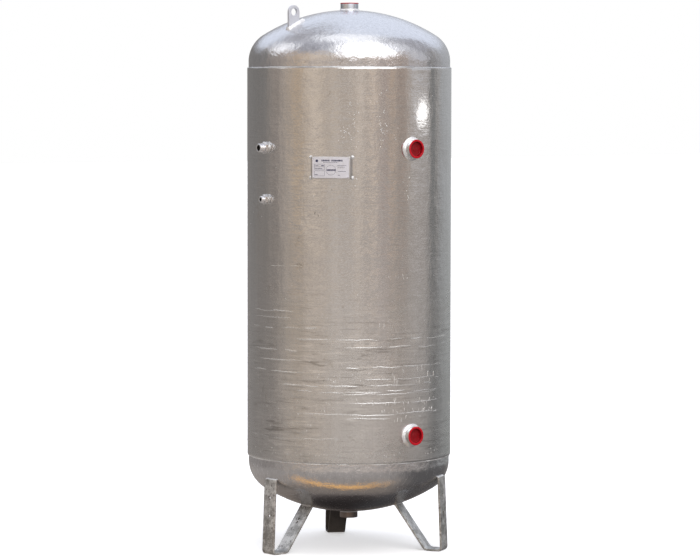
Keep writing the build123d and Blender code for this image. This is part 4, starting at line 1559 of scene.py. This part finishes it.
# Each ridge is (height, bearings from and to, half width, rise)
RIDGES = (
    (0.845, -31, 70, 2.2, 0.55), (0.814, -3, 70, 2.0, 0.50), (0.738, -2, 62, 2.2, 0.60),
    (0.668, -40, 52, 2.6, 0.75), (0.645, -30, 57, 2.6, 0.80), (0.633, -4, 54, 2.0, 0.60),
    (0.600, 0, 58, 2.4, 0.70), (0.558, -30, 58, 2.6, 0.70), (0.543, -3, 44, 2.0, 0.55),
    (0.950, -66, -28, 2.2, 0.55), (0.926, -68, -30, 2.4, 0.55), (0.886, -68, -18, 2.6, 0.65),
    (1.125, -50, -26, 2.0, 0.40), (0.800, -66, -30, 2.6, 0.50), (0.760, -60, -22, 2.4, 0.45),
    (0.715, -66, -24, 2.6, 0.50), (0.460, -70, 40, 2.2, 0.40), (0.690, 8, 60, 2.0, 0.45),
    (0.820, 80, 190, 2.4, 0.55), (0.700, 95, 230, 2.6, 0.60), (0.640, 110, 280, 2.6, 0.70),
    (0.560, 75, 210, 2.4, 0.60), (0.920, 200, 285, 2.4, 0.50), (0.480, 150, 282, 2.2, 0.45),
)
# Each dark mark is (bearing, heights from and to, half width)
MARKS = (
    (66, 1.695, 1.87, 1.0), (-19, 1.322, 1.334, 3.2), (-17.4, 1.312, 1.322, 2.6),
    (-9.5, 1.412, 1.420, 2.4), (-14.2, 0.685, 0.692, 4.0), (-56, 0.62, 0.66, 2.2),
    (-52, 0.58, 0.63, 1.6), (140, 1.1, 1.2, 1.6), (200, 0.9, 0.95, 2.4),
)


def on_shell(along, height, rise):
    """A point over the shell's skin, kept inside the tank's own box; along is a length round the shell."""
    turn = VIEW_BEARING + along / shell_radius
    flat = outward(turn) * shell_radius + Vector((0, 0, height))
    point = outward(turn) * (shell_radius - shell_inset(flat) + rise) + Vector((0, 0, height))
    margin = 0.05 * MM
    point.x = min(point.x, cad_box[1].x - margin)
    point.y = min(point.y, cad_box[1].y - margin)
    return point


def add_ribbon(parts, path, half_width, rise):
    """A low rounded band along a path of (along, height) points, tapering at both ends."""
    arch = [(t, rise * (1 - t * t), -0.12 * MM) for t in (-1.0, -0.62, -0.25, 0.25, 0.62, 1.0)]
    under = [(0.9, 0.0, -0.9 * MM), (-0.9, 0.0, -0.9 * MM)]
    vertices = []
    for i, (along, height) in enumerate(path):
        before, after = path[max(i - 1, 0)], path[min(i + 1, len(path) - 1)]
        way = Vector((after[0] - before[0], after[1] - before[1])).normalized()
        taper = max(math.sin(math.pi * (i + 0.35) / (len(path) - 0.3)), 0.05) ** 0.45
        for share, lift, base in arch + under:
            spread = half_width * taper * share
            spot = along - way.y * spread, height + way.x * spread
            vertices.append(on_shell(*spot, lift * taper + base))
    parts.add(vertices, capped(len(path), len(arch) + len(under)))


def clear_of_fittings(along, height):
    """Whether a place on the shell is away from its ports and the rating plate."""
    places = [(bearing, level, 70 * MM) for bearing, level in PORTS.values()]
    places.append((PLATE_BEARING, PLATE_HEIGHT, 100 * MM))
    for bearing, level, room in places:
        gap = (bearing - VIEW_BEARING - along / shell_radius + math.pi) % (2 * math.pi) - math.pi
        if math.hypot(gap * shell_radius, height - level) < room:
            return False
    return True


def build_ridges():
    """Wavy level lines where the zinc stood against the shell, in broken lengths."""
    draw = random.Random(11)
    parts = Parts()
    for number, (height, low, high, half_width, rise) in enumerate(RIDGES):
        at, end = math.radians(low) * shell_radius, math.radians(high) * shell_radius
        while at < end:
            length = min(draw.uniform(0.05, 0.26), end - at)
            steps = max(int(length / (4 * MM)), 4)
            lean = draw.uniform(-0.02, 0.02)
            size = draw.uniform(0.55, 1.0)
            shift = draw.uniform(-3, 3) * MM
            path = []
            for i in range(steps + 1):
                along = at + length * i / steps
                slow = 3.5 * MM * wander((along, height, 0), 0.05, number)
                quick = 1.2 * MM * wander((along, 0, height), 0.012)
                path.append((along, height + shift + (slow + quick) + lean * (along - at)))
            if all(clear_of_fittings(*spot) for spot in path[::3]):
                add_ribbon(parts, path, half_width * size * MM, rise * size * MM)
            at += length + draw.uniform(-0.02, 0.05)
    settle(parts.piece("zinc_ridges", "run", 70), "tank", slot="shell_zinc")


def build_runs(name, groups, seed):
    """Short upright runs and drops that froze on the shell, scattered by group."""
    draw = random.Random(seed)
    parts = Parts()
    for count, low, high, bottom, top, half_length, half_width, rise in groups:
        for _ in range(count):
            along = math.radians(draw.uniform(low, high)) * shell_radius
            height = draw.uniform(bottom, top)
            size = draw.uniform(0.55, 1.2)
            length = half_length * size * MM
            lean = draw.uniform(-0.22, 0.22)
            if not clear_of_fittings(along, height):
                continue
            path = [(along + lean * length * t + 0.5 * MM * wander((along, height, t), 0.6),
                     height - length * t)
                    for t in (-1, -0.75, -0.5, -0.25, 0, 0.25, 0.5, 0.75, 1)]
            add_ribbon(parts, path, half_width * size * MM, rise * size * MM)
    settle(parts.piece(name, "run", 70), "tank", slot="shell_zinc")


def build_marks():
    """A few dark smudges and a hairline scar in the skin."""
    parts = Parts()
    for number, (bearing, low, high, half_width) in enumerate(MARKS):
        along = math.radians(bearing) * shell_radius
        steps = max(int((high - low) / (3 * MM)), 6)
        path = []
        for i in range(steps + 1):
            height = low + (high - low) * i / steps
            drift = 0.0
            if half_width > 1.2:  # the one hairline stays straight
                drift = (high - low) * 0.5 * wander((height, 0, number), 0.03, number)
            path.append((along + drift + 1.0 * MM * wander((height, number, 0), 0.01), height))
        add_ribbon(parts, path, half_width * MM, 0.25 * MM)
    settle(parts.piece("dark_marks", "mark", 70), "tank", slot="shell_zinc")


build_couplings()
build_plugs()
build_small_ports()
build_lug()
build_legs()
build_bracket()
build_plate()
build_ridges()
build_runs("zinc_runs", RUN_GROUPS, 3)
build_runs("zinc_drops", DROP_GROUPS, 5)
build_marks()
build_shell()
build_heads()
build_girth_welds()
build_seam_weld()

for name, node in nodes.items():
    if node.hide_render:
        continue
    kind = "bead" if "weld" in name else "leg" if name.startswith("leg") else "fitting"
    if name.endswith("_plug"):
        kind = "red"
    for slot in node.material_slots:
        slot.material = MATERIALS[kind]
